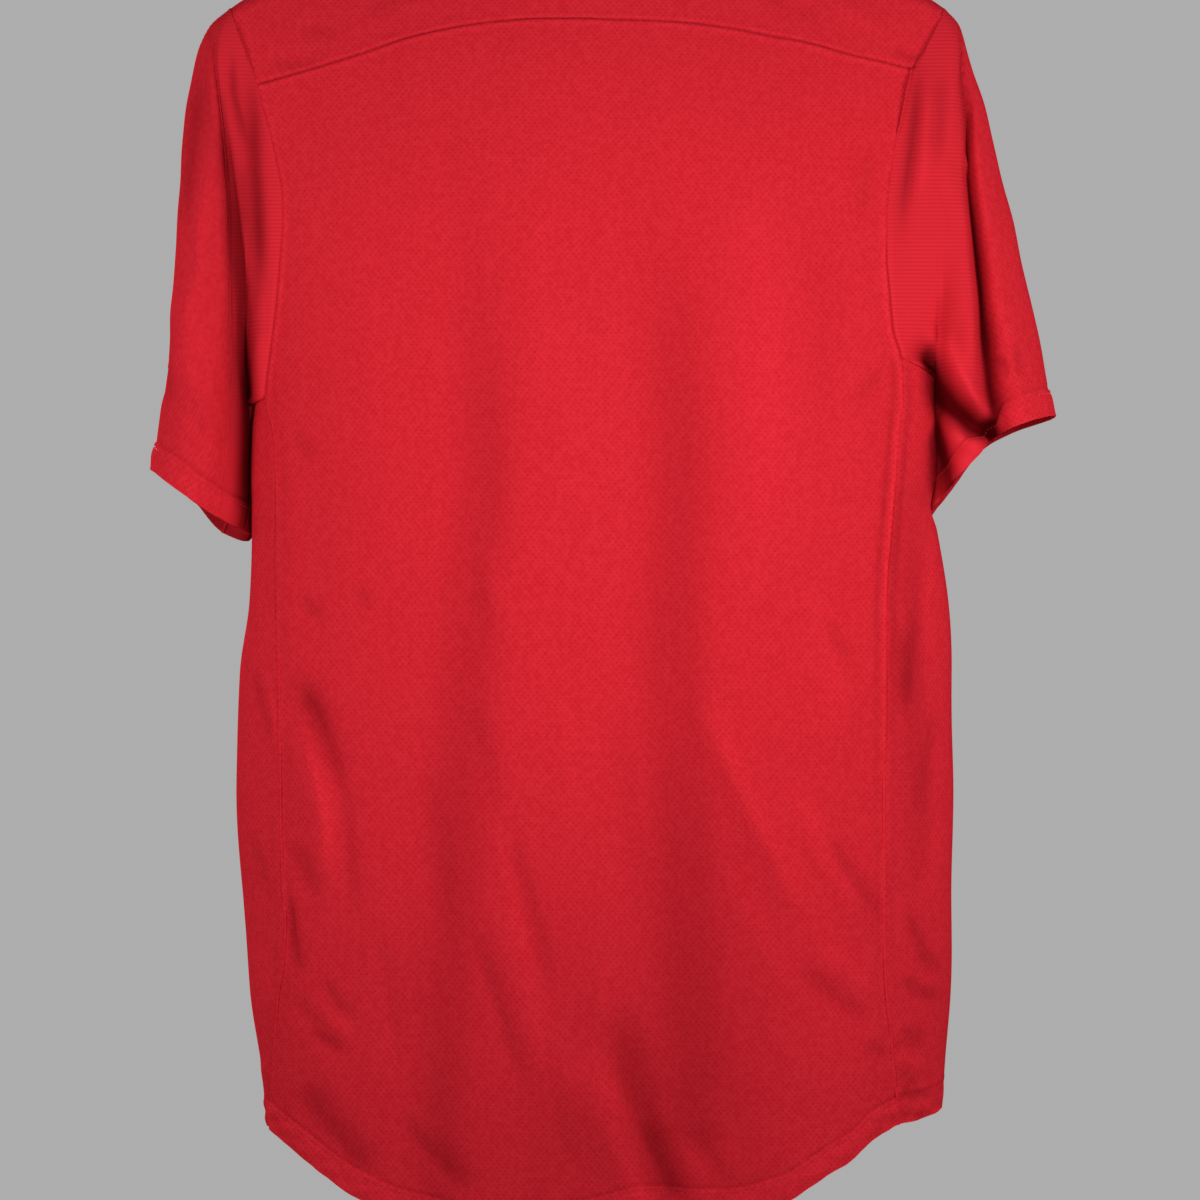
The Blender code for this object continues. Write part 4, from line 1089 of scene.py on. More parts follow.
@dataclass(frozen=True)
class MouldedPlastic(Finish):
    """Black moulded plastic with a fine grain."""

    name: str = "hanger_plastic"
    slot: str = "plastic"
    colour: Colour = (0.022, 0.022, 0.024)
    rubbed: Colour = (0.035, 0.035, 0.038)
    rubbing: Grain = Grain(35.0, 3.0, Span(0.35, 0.75))
    roughness: float = 0.34
    rubbed_roughness: float = 0.14
    grain: Grain = Grain(1400.0, 2.0)
    grain_depth: float = 0.00006

    def dress(self, shader: Shader) -> None:
        """Feeds the surface's colour, roughness and normal."""
        rubbing = shader.patches(self.rubbing)
        shader.set(
            Base_Color=shader.blend(rubbing, self.colour, self.rubbed),
            Roughness=self.roughness + rubbing * self.rubbed_roughness,
            Normal=shader.bump(shader.noise(self.grain), self.grain_depth),
        )


@dataclass(frozen=True)
class PlatedWire(Finish):
    """Bright plated steel wire with fine drawing marks."""

    name: str = "hook_wire"
    slot: str = "wire"
    colour: Colour = (0.62, 0.62, 0.64)
    dull: Colour = (0.5, 0.5, 0.52)
    marks: Grain = Grain(900.0, 3.0, Span(0.35, 0.7))
    roughness: float = 0.18
    mark_roughness: float = 0.16

    def dress(self, shader: Shader) -> None:
        """Feeds the surface's colour, metal and roughness."""
        marks = shader.noise(self.marks)
        shader.set(
            Base_Color=shader.blend(marks.step(*self.marks.levels), self.dull, self.colour),
            Metallic=1.0,
            Roughness=self.roughness + marks * self.mark_roughness,
        )


@dataclass(frozen=True)
class PaleFloor(Finish):
    """A matt pale floor that fades out at its rim."""

    name: str = "floor"
    slot: str = ""
    colour: Colour = (0.62, 0.62, 0.62)
    radius: float = 2.6
    rim: Span = Span(0.35, 0.95)
    segments: int = 96
    roughness: float = 0.9
    shine: float = 0.1

    def dress(self, shader: Shader) -> None:
        """Feeds the surface's colour and fades it out."""
        away = shader.node("ShaderNodeVectorMath", {"operation": "LENGTH"}, {0: shader.place()})
        low, high = (share * self.radius for share in self.rim)
        shader.set(
            Base_Color=(*self.colour, 1.0),
            Roughness=self.roughness,
            Specular_IOR_Level=self.shine,
            Alpha=1.0 - Value(shader, away.outputs["Value"]).step(low, high),
        )


FINISHES: dict[str, bpy.types.Material] = {}


def finished(finish: Finish) -> bpy.types.Material:
    """The finish's material, made once."""
    if finish.name not in FINISHES:
        FINISHES[finish.name] = finish.material()
    return FINISHES[finish.name]


def made_piece(made: bmesh.types.BMesh, name: str, finish: Finish) -> bpy.types.Object:
    """Makes a piece from a bmesh, which it frees.

    Args:
        made: The bmesh.
        name: The piece's name.
        finish: Its finish.

    Returns:
        The piece, in the scene.
    """
    data = bpy.data.meshes.new(name)
    made.to_mesh(data)
    made.free()
    data.materials.append(finished(finish))
    piece = bpy.data.objects.new(name, data)
    bpy.context.scene.collection.objects.link(piece)
    return piece


# -------- pieces of cloth
class Cut(NamedTuple):
    """A cut piece laid flat: the rectangle it fits in and its area, in millimetres."""

    width: float
    length: float
    area: float


CLOTH = 1.1  # thickness of a single layer
PRESSED_CLOTH = 0.55  # thickness where a seam presses it
# The most painted shade that cloth gets.
DEEPEST_SHADE = 0.95  # the most of the deep colour that cloth has
RIM_ANGLE = 60  # degrees, past which the wall's rim stays sharp
TINY = 1e-9  # keeps a division from failing
WELD = 1e-6  # points closer than this, in metres, become one


def reach(points: Array, axis: int, origin: int = 0, weights: Sequence[float] = (1, 1, 1)) -> Array:
    """How far each grid point lies from a row or column, measured along the cloth.

    Args:
        points: The grid's points.
        axis: 0 to measure along columns, 1 to measure along rows.
        origin: The row or column that the distance starts from.
        weights: Which of x, y and z count.

    Returns:
        The distances, negative before the origin.
    """
    steps = np.linalg.norm(np.diff(points, axis=axis) * np.array(weights), axis=-1)
    total = np.cumsum(steps, axis=axis)
    zero = np.zeros_like(np.take(total, [0], axis=axis))
    total = np.concatenate([zero, total], axis=axis)
    return total - np.take(total, [origin], axis=axis)


def read_line(at: Numbers, far: Array, points: Array) -> Array:
    """The places on a line of points at distances along it, far being each point's own."""
    return np.stack([np.interp(at, far, points[:, i]) for i in range(3)], axis=-1)


class Border(Enum):
    """A border of a piece's grid: the axis it ends, and whether it is at that axis's end."""

    LOW = (0, False)
    HIGH = (0, True)
    FIRST = (1, False)
    LAST = (1, True)

    def line(self, grid: Array, inward: int = 0) -> Array:
        """The grid's line on this border, or one further in."""
        axis, at_end = self.value
        return np.take(grid, -1 - inward if at_end else inward, axis=axis)

    def grown(self, grid: Array, lines: Sequence[Array]) -> Array:
        """The grid with lines added past this border, nearest first."""
        axis, at_end = self.value
        added = np.stack(lines if at_end else lines[::-1], axis=axis)
        return np.concatenate([grid, added] if at_end else [added, grid], axis=axis)


class Step(NamedTuple):
    """A step of a turned edge: how far past the seam it lies, and how far inside the cloth."""

    past: float
    inside: float


TURNED_EDGE = (Step(0.6, 0.2), Step(0.9, 1.3))


@dataclass
class Panel:
    """One cut piece, as a grid of points on the cloth's middle surface in millimetres.

    Attributes:
        name: The piece's name.
        node: The solid it stands for.
        finish: Its finish.
        points: The grid, rows by columns by 3.
        raised: How far each point is lifted off the grid, outwards.
        thickness: The wall's thickness at each point.
        flat: The place of each point on the flat piece.
        flip: Whether the grid's own faces look into the garment.
        cells: Which of the grid's cells are cloth, all if not given.
        closed: Whether the last column lies on the first.
        tone: The painted shade at each point, with painted highlights on ridges, even if not given.
        turned: The borders that are sewn to another piece, whose edges turn in.
    """

    name: str
    node: str
    finish: Finish
    points: Array
    raised: Array
    thickness: Array
    flat: Array
    flip: bool = False
    cells: Optional[Array] = None
    closed: bool = False
    tone: Optional[Array] = None
    turned: tuple[Border, ...] = ()

    def normals(self) -> Array:
        """The way out of the garment at each point."""
        down = np.gradient(self.points, axis=0)
        across = np.gradient(self.points, axis=1)
        if self.closed:
            ends = (self.points[:, 1] - self.points[:, -2]) / 2
            across[:, 0] = across[:, -1] = ends
        way = np.cross(across, down)
        way /= np.maximum(np.linalg.norm(way, axis=-1, keepdims=True), TINY)
        return -way if self.flip else way

    def surface(self) -> Array:
        """The middle surface with its relief."""
        return self.points + self.normals() * self.raised[..., None]

    def layers(self) -> dict[str, Array]:
        """The piece's grids with its turned edges: surface, normals, flat, thickness, painted shade and
        cells.
        """
        rows, columns = self.points.shape[:2]
        # depth is the painted shade of each point, that of flat cloth if not given.
        depth = np.full((rows, columns), FLAT_SHADE) if self.tone is None else self.tone
        grids = {
            "surface": self.surface(),
            "normals": self.normals(),
            "flat": self.flat,
            "thickness": self.thickness,
            "tone": np.clip(depth, 0, DEEPEST_SHADE),
            "cells": np.ones((rows - 1, columns - 1), bool) if self.cells is None else self.cells,
        }
        for border in self.turned:
            edge, way = border.line(grids["surface"]), border.line(grids["normals"])
            past = edge - border.line(grids["surface"], 1)
            past /= np.maximum(np.linalg.norm(past, axis=-1, keepdims=True), TINY)
            for name, grid in grids.items():
                if name == "surface":
                    lines = [edge + past * step.past - way * step.inside for step in TURNED_EDGE]
                elif name == "flat":
                    end = border.line(grid)
                    further = end - border.line(grid, 1)
                    lines = [end + further * (step.past + step.inside) for step in TURNED_EDGE]
                else:
                    lines = [border.line(grid)] * len(TURNED_EDGE)
                grids[name] = border.grown(grid, lines)
        return grids

    def build(self) -> bpy.types.Object:
        """Returns:
            The finished object.
        """
        grids = self.layers()
        surface, flat, thickness, cells = (grids[name] for name in ("surface", "flat", "thickness", "cells"))
        rows, columns = thickness.shape
        made = bmesh.new()
        bmesh.ops.create_grid(made, x_segments=columns - 1, y_segments=rows - 1, size=0.5)
        uv = made.loops.layers.uv.new(CLOTH_MAP)
        weight = made.verts.layers.deform.verify()
        # The painted shade of each point, as an attribute for its material.
        depth = made.verts.layers.float.new(SHADE_MAP)
        spot = {}
        for vert in made.verts:
            r = round((vert.co.y + 0.5) * (rows - 1))
            c = round((vert.co.x + 0.5) * (columns - 1))
            spot[vert] = (r, c)
            vert[weight][0] = float(thickness[r, c] / thickness.max())
            vert[depth] = float(grids["tone"][r, c])
        gone = []
        for face in made.faces:
            for loop in face.loops:
                r, c = spot[loop.vert]
                loop[uv].uv = flat[r, c] * MM
            r = min(spot[v][0] for v in face.verts)
            c = min(spot[v][1] for v in face.verts)
            if not cells[r, c]:
                gone.append(face)
        for vert, (r, c) in spot.items():
            vert.co = Vector(surface[r, c]) * MM
        bmesh.ops.delete(made, geom=gone, context="FACES")
        if self.closed:
            bmesh.ops.remove_doubles(made, verts=made.verts, dist=WELD)
        if self.flip:
            bmesh.ops.reverse_faces(made, faces=made.faces)
        for face in made.faces:
            face.smooth = True
        piece = made_piece(made, self.name, self.finish)
        piece.vertex_groups.new(name="thickness")
        shell = piece.modifiers.new("wall", "SOLIDIFY")
        shell.thickness = float(thickness.max()) * MM
        shell.offset = 0
        shell.vertex_group = "thickness"
        shell.thickness_vertex_group = 0.0
        rim = piece.modifiers.new("rim", "EDGE_SPLIT")
        rim.split_angle = radians(RIM_ANGLE)
        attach(piece, "root")
        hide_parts(self.node)
        LOG.info("%s: %d rows, %d columns", self.name, rows, columns)
        return piece


class Swell(NamedTuple):
    """A soft ridge along a line of sewing, or a groove where its height is negative."""

    height: float
    away: float
    width: float


def swells(parts: Iterable[Swell], distance: Array) -> Array:
    """Adds up soft ridges at distances from their line."""
    return sum(part.height * bell(distance - part.away, part.width) for part in parts)


@dataclass(frozen=True)
class FoldedHem:
    """A folded hem or cuff, whose parts lie at distances from its edge.

    Attributes:
        layer: Where its outer layer ends.
        raised: How far that layer stands out.
        stitch_line: Where its stitches run.
        relief: Its puffed middle, the groove of its stitches and the dip above it.
        paler: Where its painted highlight ends.
        paling: How much paler its painted highlight makes it.
        shading: The painted shade line just above it.
    """

    layer: Span = Span(17.3, 15.9)
    raised: float = 0.9
    stitch_line: float = 14.3
    relief: tuple[Swell, ...] = (Swell(0.225, 8, 5), Swell(-0.45, 14.3, 0.8), Swell(-0.25, 18.3, 1.2))
    # A painted highlight on the raised band, and a painted shade line in the groove above it.
    paler: Span = Span(17.7, 16.5)
    paling: float = 0.05
    shading: tuple[Swell, ...] = (Swell(0.12, 18.1, 1.3),)

    def profile(self, distance: Array) -> Array:
        """How far its outside stands out."""
        return self.raised * self.layer.share(distance) + swells(self.relief, distance)

    def tone(self, distance: Array) -> Array:
        """The painted shade line above the band and the band's painted highlight, as shares of the painted
        shade colour.
        """
        return swells(self.shading, distance) - self.paling * self.paler.share(distance)


HEM = FoldedHem()


def hemmed_wall(profile: Array) -> Array:
    """The cloth's thickness where a hem stands out by a profile."""
    return np.maximum(CLOTH + profile, PRESSED_CLOTH)


@dataclass(frozen=True)
class Seam:
    """A kind of seam, the same to both sides of its line.

    Attributes:
        relief: Its ridges and grooves.
        shading: The painted shade in its grooves and painted highlight on its ridges.
    """

    relief: tuple[Swell, ...]
    shading: tuple[Swell, ...]

    def height(self, distance: Array, size: Numbers = 1.0) -> Array:
        """How far the cloth stands out at distances from a seam of a size."""
        return size * swells(self.relief, np.abs(distance))

    def tone(self, distance: Array, size: Numbers = 1.0) -> Array:
        """The painted shade and painted highlight at distances from a seam of a size, as shares of the
        painted shade colour.
        """
        return size * swells(self.shading, np.abs(distance))


# A flat seam: a deep groove with painted shade, and a soft ridge with a painted highlight on each side.
FELLED = Seam(
    relief=(Swell(0.4, 2.2, 1.5), Swell(-0.55, 0, 0.8)),
    shading=(Swell(0.42, 0, 0.9), Swell(-0.07, 2.4, 1.2)),
)
# A seam whose allowance makes a narrow round ridge with a painted highlight, and a dip with painted shade on
# each side.
PIPED = Seam(
    relief=(Swell(1, 0, 1.3), Swell(-0.8, 4.4, 2.4)),
    shading=(Swell(0.16, 4.2, 2.2), Swell(-0.1, 0, 1.4)),
)
# An armhole's seam: painted shade at its line, and a ridge with a painted highlight just beside it.
ARMHOLE = Seam(
    relief=(Swell(1, 1.8, 1.2),),
    shading=(Swell(0.35, 0, 0.9), Swell(-0.15, 2.2, 1.3)),
)


class SeamSize(NamedTuple):
    """A seam's size along its way: a base, more over a span of heights, and a swell at a height."""

    base: float
    more: float = 0.0
    span: Span = Span(0, 1)
    swell: Swell = Swell(0, 0, 1)

    def at(self, z: Array) -> Array:
        """The size at heights."""
        return self.base + self.more * self.span.share(z) + swells([self.swell], z)


SIDE_SEAMS = {
    Side.LEFT: SeamSize(0.16, swell=Swell(0.2, -700, 60)),
    Side.RIGHT: SeamSize(0.12, 0.25, Span(-790, -680), Swell(0.9, -450, 100)),
}
ARMHOLE_SEAMS = {
    Side.LEFT: SeamSize(0.35, 0.3, Span(-260, -310)),
    Side.RIGHT: SeamSize(0.3, 0.8, Span(-260, -310)),
}


@dataclass
class Body:
    """The back, front, side panels and yoke."""

    torso: Torso = TORSO
    knit: Finish = BirdseyeKnit()
    across: Spacing = Spacing(395, 0.8, 3.1, 24)
    along_shoulder: Spacing = Spacing(240, 0.8, 3.1, 24)
    front_neck: Spacing = Spacing(200, 1.0, 3.1, 16)
    back_neck: Spacing = Spacing(150, 1.0, 3.1, 16)
    round_side: Spacing = Spacing(110, 0.8, 2.6, 14)
    row_step: float = 3.1
    close_step: float = 0.9
    close_above_hem: float = 22
    close_below_yoke: float = 6.5
    ripple: Ripple = Ripple(0.35, 48, 4, 2.0)
    side_ripple_shift: float = 300
    hem_ripple: Ripple = Ripple(0.35, 13, 9)
    hem_rippled: Span = Span(26, 14)
    # How strong the painted shade of the creases is, over all and on each side panel.
    crease_tone: float = 0.85
    side_crease_tone: dict[Side, float] = field(default_factory=lambda: {Side.LEFT: 0.9, Side.RIGHT: 1.05})
    side_creased: dict[Face, float] = field(default_factory=lambda: {Face.BACK: 4, Face.FRONT: 40})
    # Painted shade down the lower middle of the back, darker towards the hem.
    hollow: Swell = Swell(0.11, 5, 65)
    hollow_span: Span = Span(-600, -820)
    underarm_blend: float = 14
    yoke_rows: tuple[int, int] = (6, 32)
    yoke_seam_share: float = 0.94
    yoke_crowding: float = 1.6
    # How strong the painted shade of the yoke's creases is.
    yoke_crease_tone: float = 0.55
    yoke_ripple_share: float = 0.2
    yoke_flat_drop: float = 20
    yoke_ends: tuple[Swell, ...] = (Swell(0.5, 1.6, 2.0),)
    bare_tip: float = 6

    def climbs(self, side: Side, face: Face) -> tuple[Array, Array]:
        """Shares of the way up the side seam and the armhole's edge, close at the hem and the yoke."""
        way = self.torso.armpit[side] - self.torso.hem_corner(side, face)
        hem = np.arange(0, self.close_above_hem, self.close_step) / way
        rows = round((way - self.close_above_hem) / self.row_step)
        body = mix(hem[-1], 1, np.linspace(0, 1, rows)[1:])
        way = self.torso.yoke_corner[side] - self.torso.armpit[side]
        seam = 1 - np.arange(0, self.close_below_yoke, self.close_step)[::-1] / way
        arm = np.linspace(0, seam[0], round(way / self.row_step))
        return np.concatenate([hem, body]), np.concatenate([arm[1:-1], seam])

    def outline(self, face: Face) -> Array:
        """The grid of points (x, z) of the back or the front, rows running up."""
        torso = self.torso
        climb, arm = self.climbs(Side.LEFT, face)
        left, right = (
            np.concatenate([torso.side_line(side, face, climb), torso.arm_line(side, arm)]) for side in Side
        )
        if face is Face.BACK:
            across = self.across.shares()
            top = torso.yoke_line(across)
        else:
            top = torso.front_top(self.along_shoulder.near_half(), self.front_neck.shares())
            across = (top[:, 0] - top[0, 0]) / (top[-1, 0] - top[0, 0])
        hem_x = mix(left[0, 0], right[0, 0], across)
        bottom = np.stack([hem_x, HEMS[face].read("z", hem_x)], axis=-1)
        bottom[0], bottom[-1] = left[0], right[0]
        top[0], top[-1] = left[-1], right[-1]
        return patch(bottom, top, left, right)

    def panel(self, face: Face) -> Panel:
        """The back or the front."""
        torso = self.torso
        name = face.name.lower()
        points = torso.place(self.outline(face), face)
        x, z = points[..., 0], points[..., 2]
        drop = ease((torso.ridge(x) - z) / torso.fold_free_drop)
        from_hem = z - HEMS[face].read("z", x)
        from_top = reach(points, 0, -1)
        hem = HEM.profile(from_hem)
        raised = (relief(BODY_CREASES[face], x, z) + self.ripple.at(x, z)) * drop
        raised += hem / 2 + self.hem_ripple.at(x, z) * self.hem_rippled.share(from_hem)
        raised += FELLED.height(from_top)
        # depth is painted shade in the creases, folds, hem and yoke seam, with painted highlights on ridges,
        # then down the lower back's middle and at side and armhole seams.
        creased = self.crease_tone * tone(BODY_CREASES[face], x, z)
        depth = FLAT_SHADE + drop * (creased + torso.fold_gain * tone(BODY_FOLDS[face], x, z))
        depth += HEM.tone(from_hem) + FELLED.tone(from_top)
        if face is Face.BACK:
            depth += swells([self.hollow], x) * self.hollow_span.share(z)
        for side in Side:
            near = np.abs(x - torso.edge(z, side))
            armpit, blend = torso.armpit[side], self.underarm_blend / 2
            below = Span(armpit + blend, armpit - blend).share(z)
            for seam, size in (
                (PIPED, SIDE_SEAMS[side].at(z) * below),
                (ARMHOLE, ARMHOLE_SEAMS[side].at(z) * (1 - below)),
            ):
                raised += seam.height(near, size)
                depth += seam.tone(near, size)
        across = reach(points, 1, points.shape[1] // 2, (1, 1, 0))
        return Panel(
            f"{name}_panel", name, self.knit, points, raised, hemmed_wall(hem),
            flat=np.stack([across, reach(points, 0, 0, (0, 1, 1)) + z[:1]], axis=-1),
            flip=face is Face.FRONT,
            tone=depth,
            turned=(Border.FIRST, Border.LAST, Border.HIGH),
        )

    def side_points(self, side: Side, climb: Array, round_it: Array) -> Array:
        """The side panel's points.

        Args:
            side: The wearer's side.
            climb: Shares of the way up from the hem.
            round_it: Shares of the way round, from the back's seam to the front's.

        Returns:
            The grid, rows running up.
        """
        torso = self.torso
        seams = {face: torso.side_line(side, face, climb) for face in Face}
        grid = np.zeros((len(climb), len(round_it), 3))
        bulge = mix(torso.side_hem_rise[side], -torso.underarm_dip[side], climb)
        for j, share in enumerate(round_it):
            face = Face.BACK if share <= 0.5 else Face.FRONT
            z = mix(seams[Face.BACK][:, 1], seams[Face.FRONT][:, 1], share) + bulge * sin(pi * share)
            half = torso.half_width(z, side)
            seam_x = np.abs(torso.edge(z, side))
            seam_y = torso.depth(torso.edge(z, side), z, face)
            seam_turn = np.arccos(np.clip(seam_x / half, 0, 1) ** (torso.roundness / 2))
            turn = seam_turn * abs(1 - 2 * share)
            x = half * np.cos(turn) ** (2 / torso.roundness)
            y = seam_y * (np.sin(turn) / np.sin(seam_turn)) ** (2 / torso.roundness)
            grid[:, j] = np.stack([side.value * x, y, z], axis=-1)
        for j, face in ((0, Face.BACK), (-1, Face.FRONT)):
            grid[:, j] = torso.place(seams[face], face)
        return grid

    def side_panel(self, side: Side) -> Panel:
        """The panel under an arm."""
        climb, _ = self.climbs(side, Face.BACK)
        points = self.side_points(side, climb, self.round_side.shares())
        x, y, z = (points[..., i] for i in range(3))
        length, from_hem = reach(points, 1), reach(points, 0)
        near = {Face.BACK: length, Face.FRONT: length[:, -1:] - length}
        hem = HEM.profile(from_hem)
        raised = self.ripple.at(length + self.side_ripple_shift * side.value, z)
        raised += hem / 2 + self.hem_ripple.at(length, z) * self.hem_rippled.share(from_hem)
        creased = (y > 0) * 1.0
        for face, fade in self.side_creased.items():
            creased *= ease(near[face] / fade)
        raised += relief(SIDE_CREASES[side], np.abs(x), z) * creased
        # depth is painted shade in the creases, the hem and the seams, with painted highlights on ridges.
        painted_crease_shade = self.side_crease_tone[side] * tone(SIDE_CREASES[side], np.abs(x), z)
        depth = FLAT_SHADE + painted_crease_shade * creased + HEM.tone(from_hem)
        for distance in near.values():
            raised += PIPED.height(distance, SIDE_SEAMS[side].at(z))
            depth += PIPED.tone(distance, SIDE_SEAMS[side].at(z))
        name = f"side_{side.word}"
        return Panel(
            f"{name}_panel", name, self.knit, points, raised, hemmed_wall(hem),
            flip=side is Side.RIGHT,
            flat=np.stack([length, from_hem + z[:1]], axis=-1),
            tone=depth,
            turned=(Border.FIRST, Border.LAST, Border.HIGH),
        )

    def yoke_column(self, side: Side, share: float, front_z: float, steps: Array) -> Array:
        """A column of the yoke between an armhole and the neck.

        Args:
            side: The wearer's side.
            share: The share of the way from the armhole to the neck.
            front_z: The height of the front shoulder seam there.
            steps: Shares of the way from a seam to the ridge.

        Returns:
            The points, from the back seam over the ridge to the front one.
        """
        torso = self.torso
        neck_x, corner_z = side.value * torso.neck_half_width, torso.yoke_corner[side]
        outer = torso.edge(mix(corner_z, torso.shoulder_tip.z, steps), side)
        seam_end = YOKE_SEAM.rows[-1 if side is Side.LEFT else 0].x
        seam_z = YOKE_SEAM.read("z", mix(seam_end, neck_x, share)) if share > 0 else corner_z
        top_z = torso.ridge(mix(torso.shoulder_tip.x, torso.neck_half_width, share))
        behind = np.stack([mix(outer, neck_x, share), mix(seam_z, top_z, steps)], axis=-1)
        front_x = side.value * torso.front_neck_x(steps)
        before = np.stack([mix(outer, front_x, share), mix(front_z, top_z, steps)], axis=-1)
        over = torso.place(before[::-1], Face.FRONT)
        return np.concatenate([torso.place(behind, Face.BACK)[:-1], over])

    def yoke(self) -> Panel:
        """The yoke, from the back seam over the hanger to the front shoulder seams."""
        torso = self.torso
        seam_rows, rows = self.yoke_rows
        rest = self.yoke_seam_share * np.linspace(1, 0, rows)[1:] ** self.yoke_crowding
        steps = 1 - np.concatenate([np.linspace(1, self.yoke_seam_share, seam_rows), rest])
        half = len(steps) - 1
        inward, neck = self.along_shoulder.near_half(), self.back_neck.shares()
        shoulders, middle = len(inward) - 1, len(neck) - 1
        columns = 2 * shoulders + middle + 1
        grid = np.zeros((2 * half + 1, columns, 3))
        neckline = torso.back_neckline(neck)
        for i in range(1, middle):
            x = torso.neck_half_width * (1 - 2 * neck[i])
            seam = np.array([x, YOKE_SEAM.read("z", x)])
            grid[: half + 1, shoulders + i] = torso.place(mix(seam, neckline[i], steps[:, None]), Face.BACK)
        front_top = torso.front_top(inward, neck)
        for i, share in enumerate(inward):
            for side, column in ((Side.LEFT, i), (Side.RIGHT, -1 - i)):
                grid[:, column] = self.yoke_column(side, share, front_top[column][1], steps)
        cells = np.ones((2 * half, columns - 1), bool)
        cells[half:, shoulders:-shoulders] = False
        grid[half + 1 :, shoulders + 1 : -shoulders - 1] = grid[half, shoulders + 1 : -shoulders - 1]
        x, z = grid[..., 0], grid[..., 2]
        behind = np.arange(2 * half + 1)[:, None] <= half
        from_seam = np.where(behind, reach(grid, 0), reach(grid, 0, 2 * half))
        raised = relief(YOKE_CREASES, x, z) * behind + FELLED.height(from_seam)
        hung = ease((torso.ridge(x) - z) / self.yoke_flat_drop)
        raised += self.yoke_ripple_share * self.ripple.at(x, z) * hung
        for side in Side:
            near = np.abs(x - torso.edge(z, side))
            raised += swells(self.yoke_ends, near) * (np.abs(z - torso.shoulder_tip.z) > self.bare_tip)
        across = reach(grid, 1, columns // 2, (1, 0, 0))
        # Painted shade in the yoke's creases behind and at its seams.
        creased = self.yoke_crease_tone * tone(YOKE_CREASES, x, z) * behind
        return Panel(
            "yoke_panel", "yoke", self.knit, grid, raised, np.full(x.shape, CLOTH),
            cells=cells,
            flat=np.stack([across, reach(grid, 0, 0, (0, 1, 1)) + z[:1]], axis=-1),
            tone=FLAT_SHADE + creased + FELLED.tone(from_seam),
            turned=tuple(Border),
        )

    def panels(self) -> list[Panel]:
        """All the pieces of the body."""
        sides = [self.side_panel(side) for side in Side]
        return [self.panel(Face.BACK), self.panel(Face.FRONT), *sides, self.yoke()]


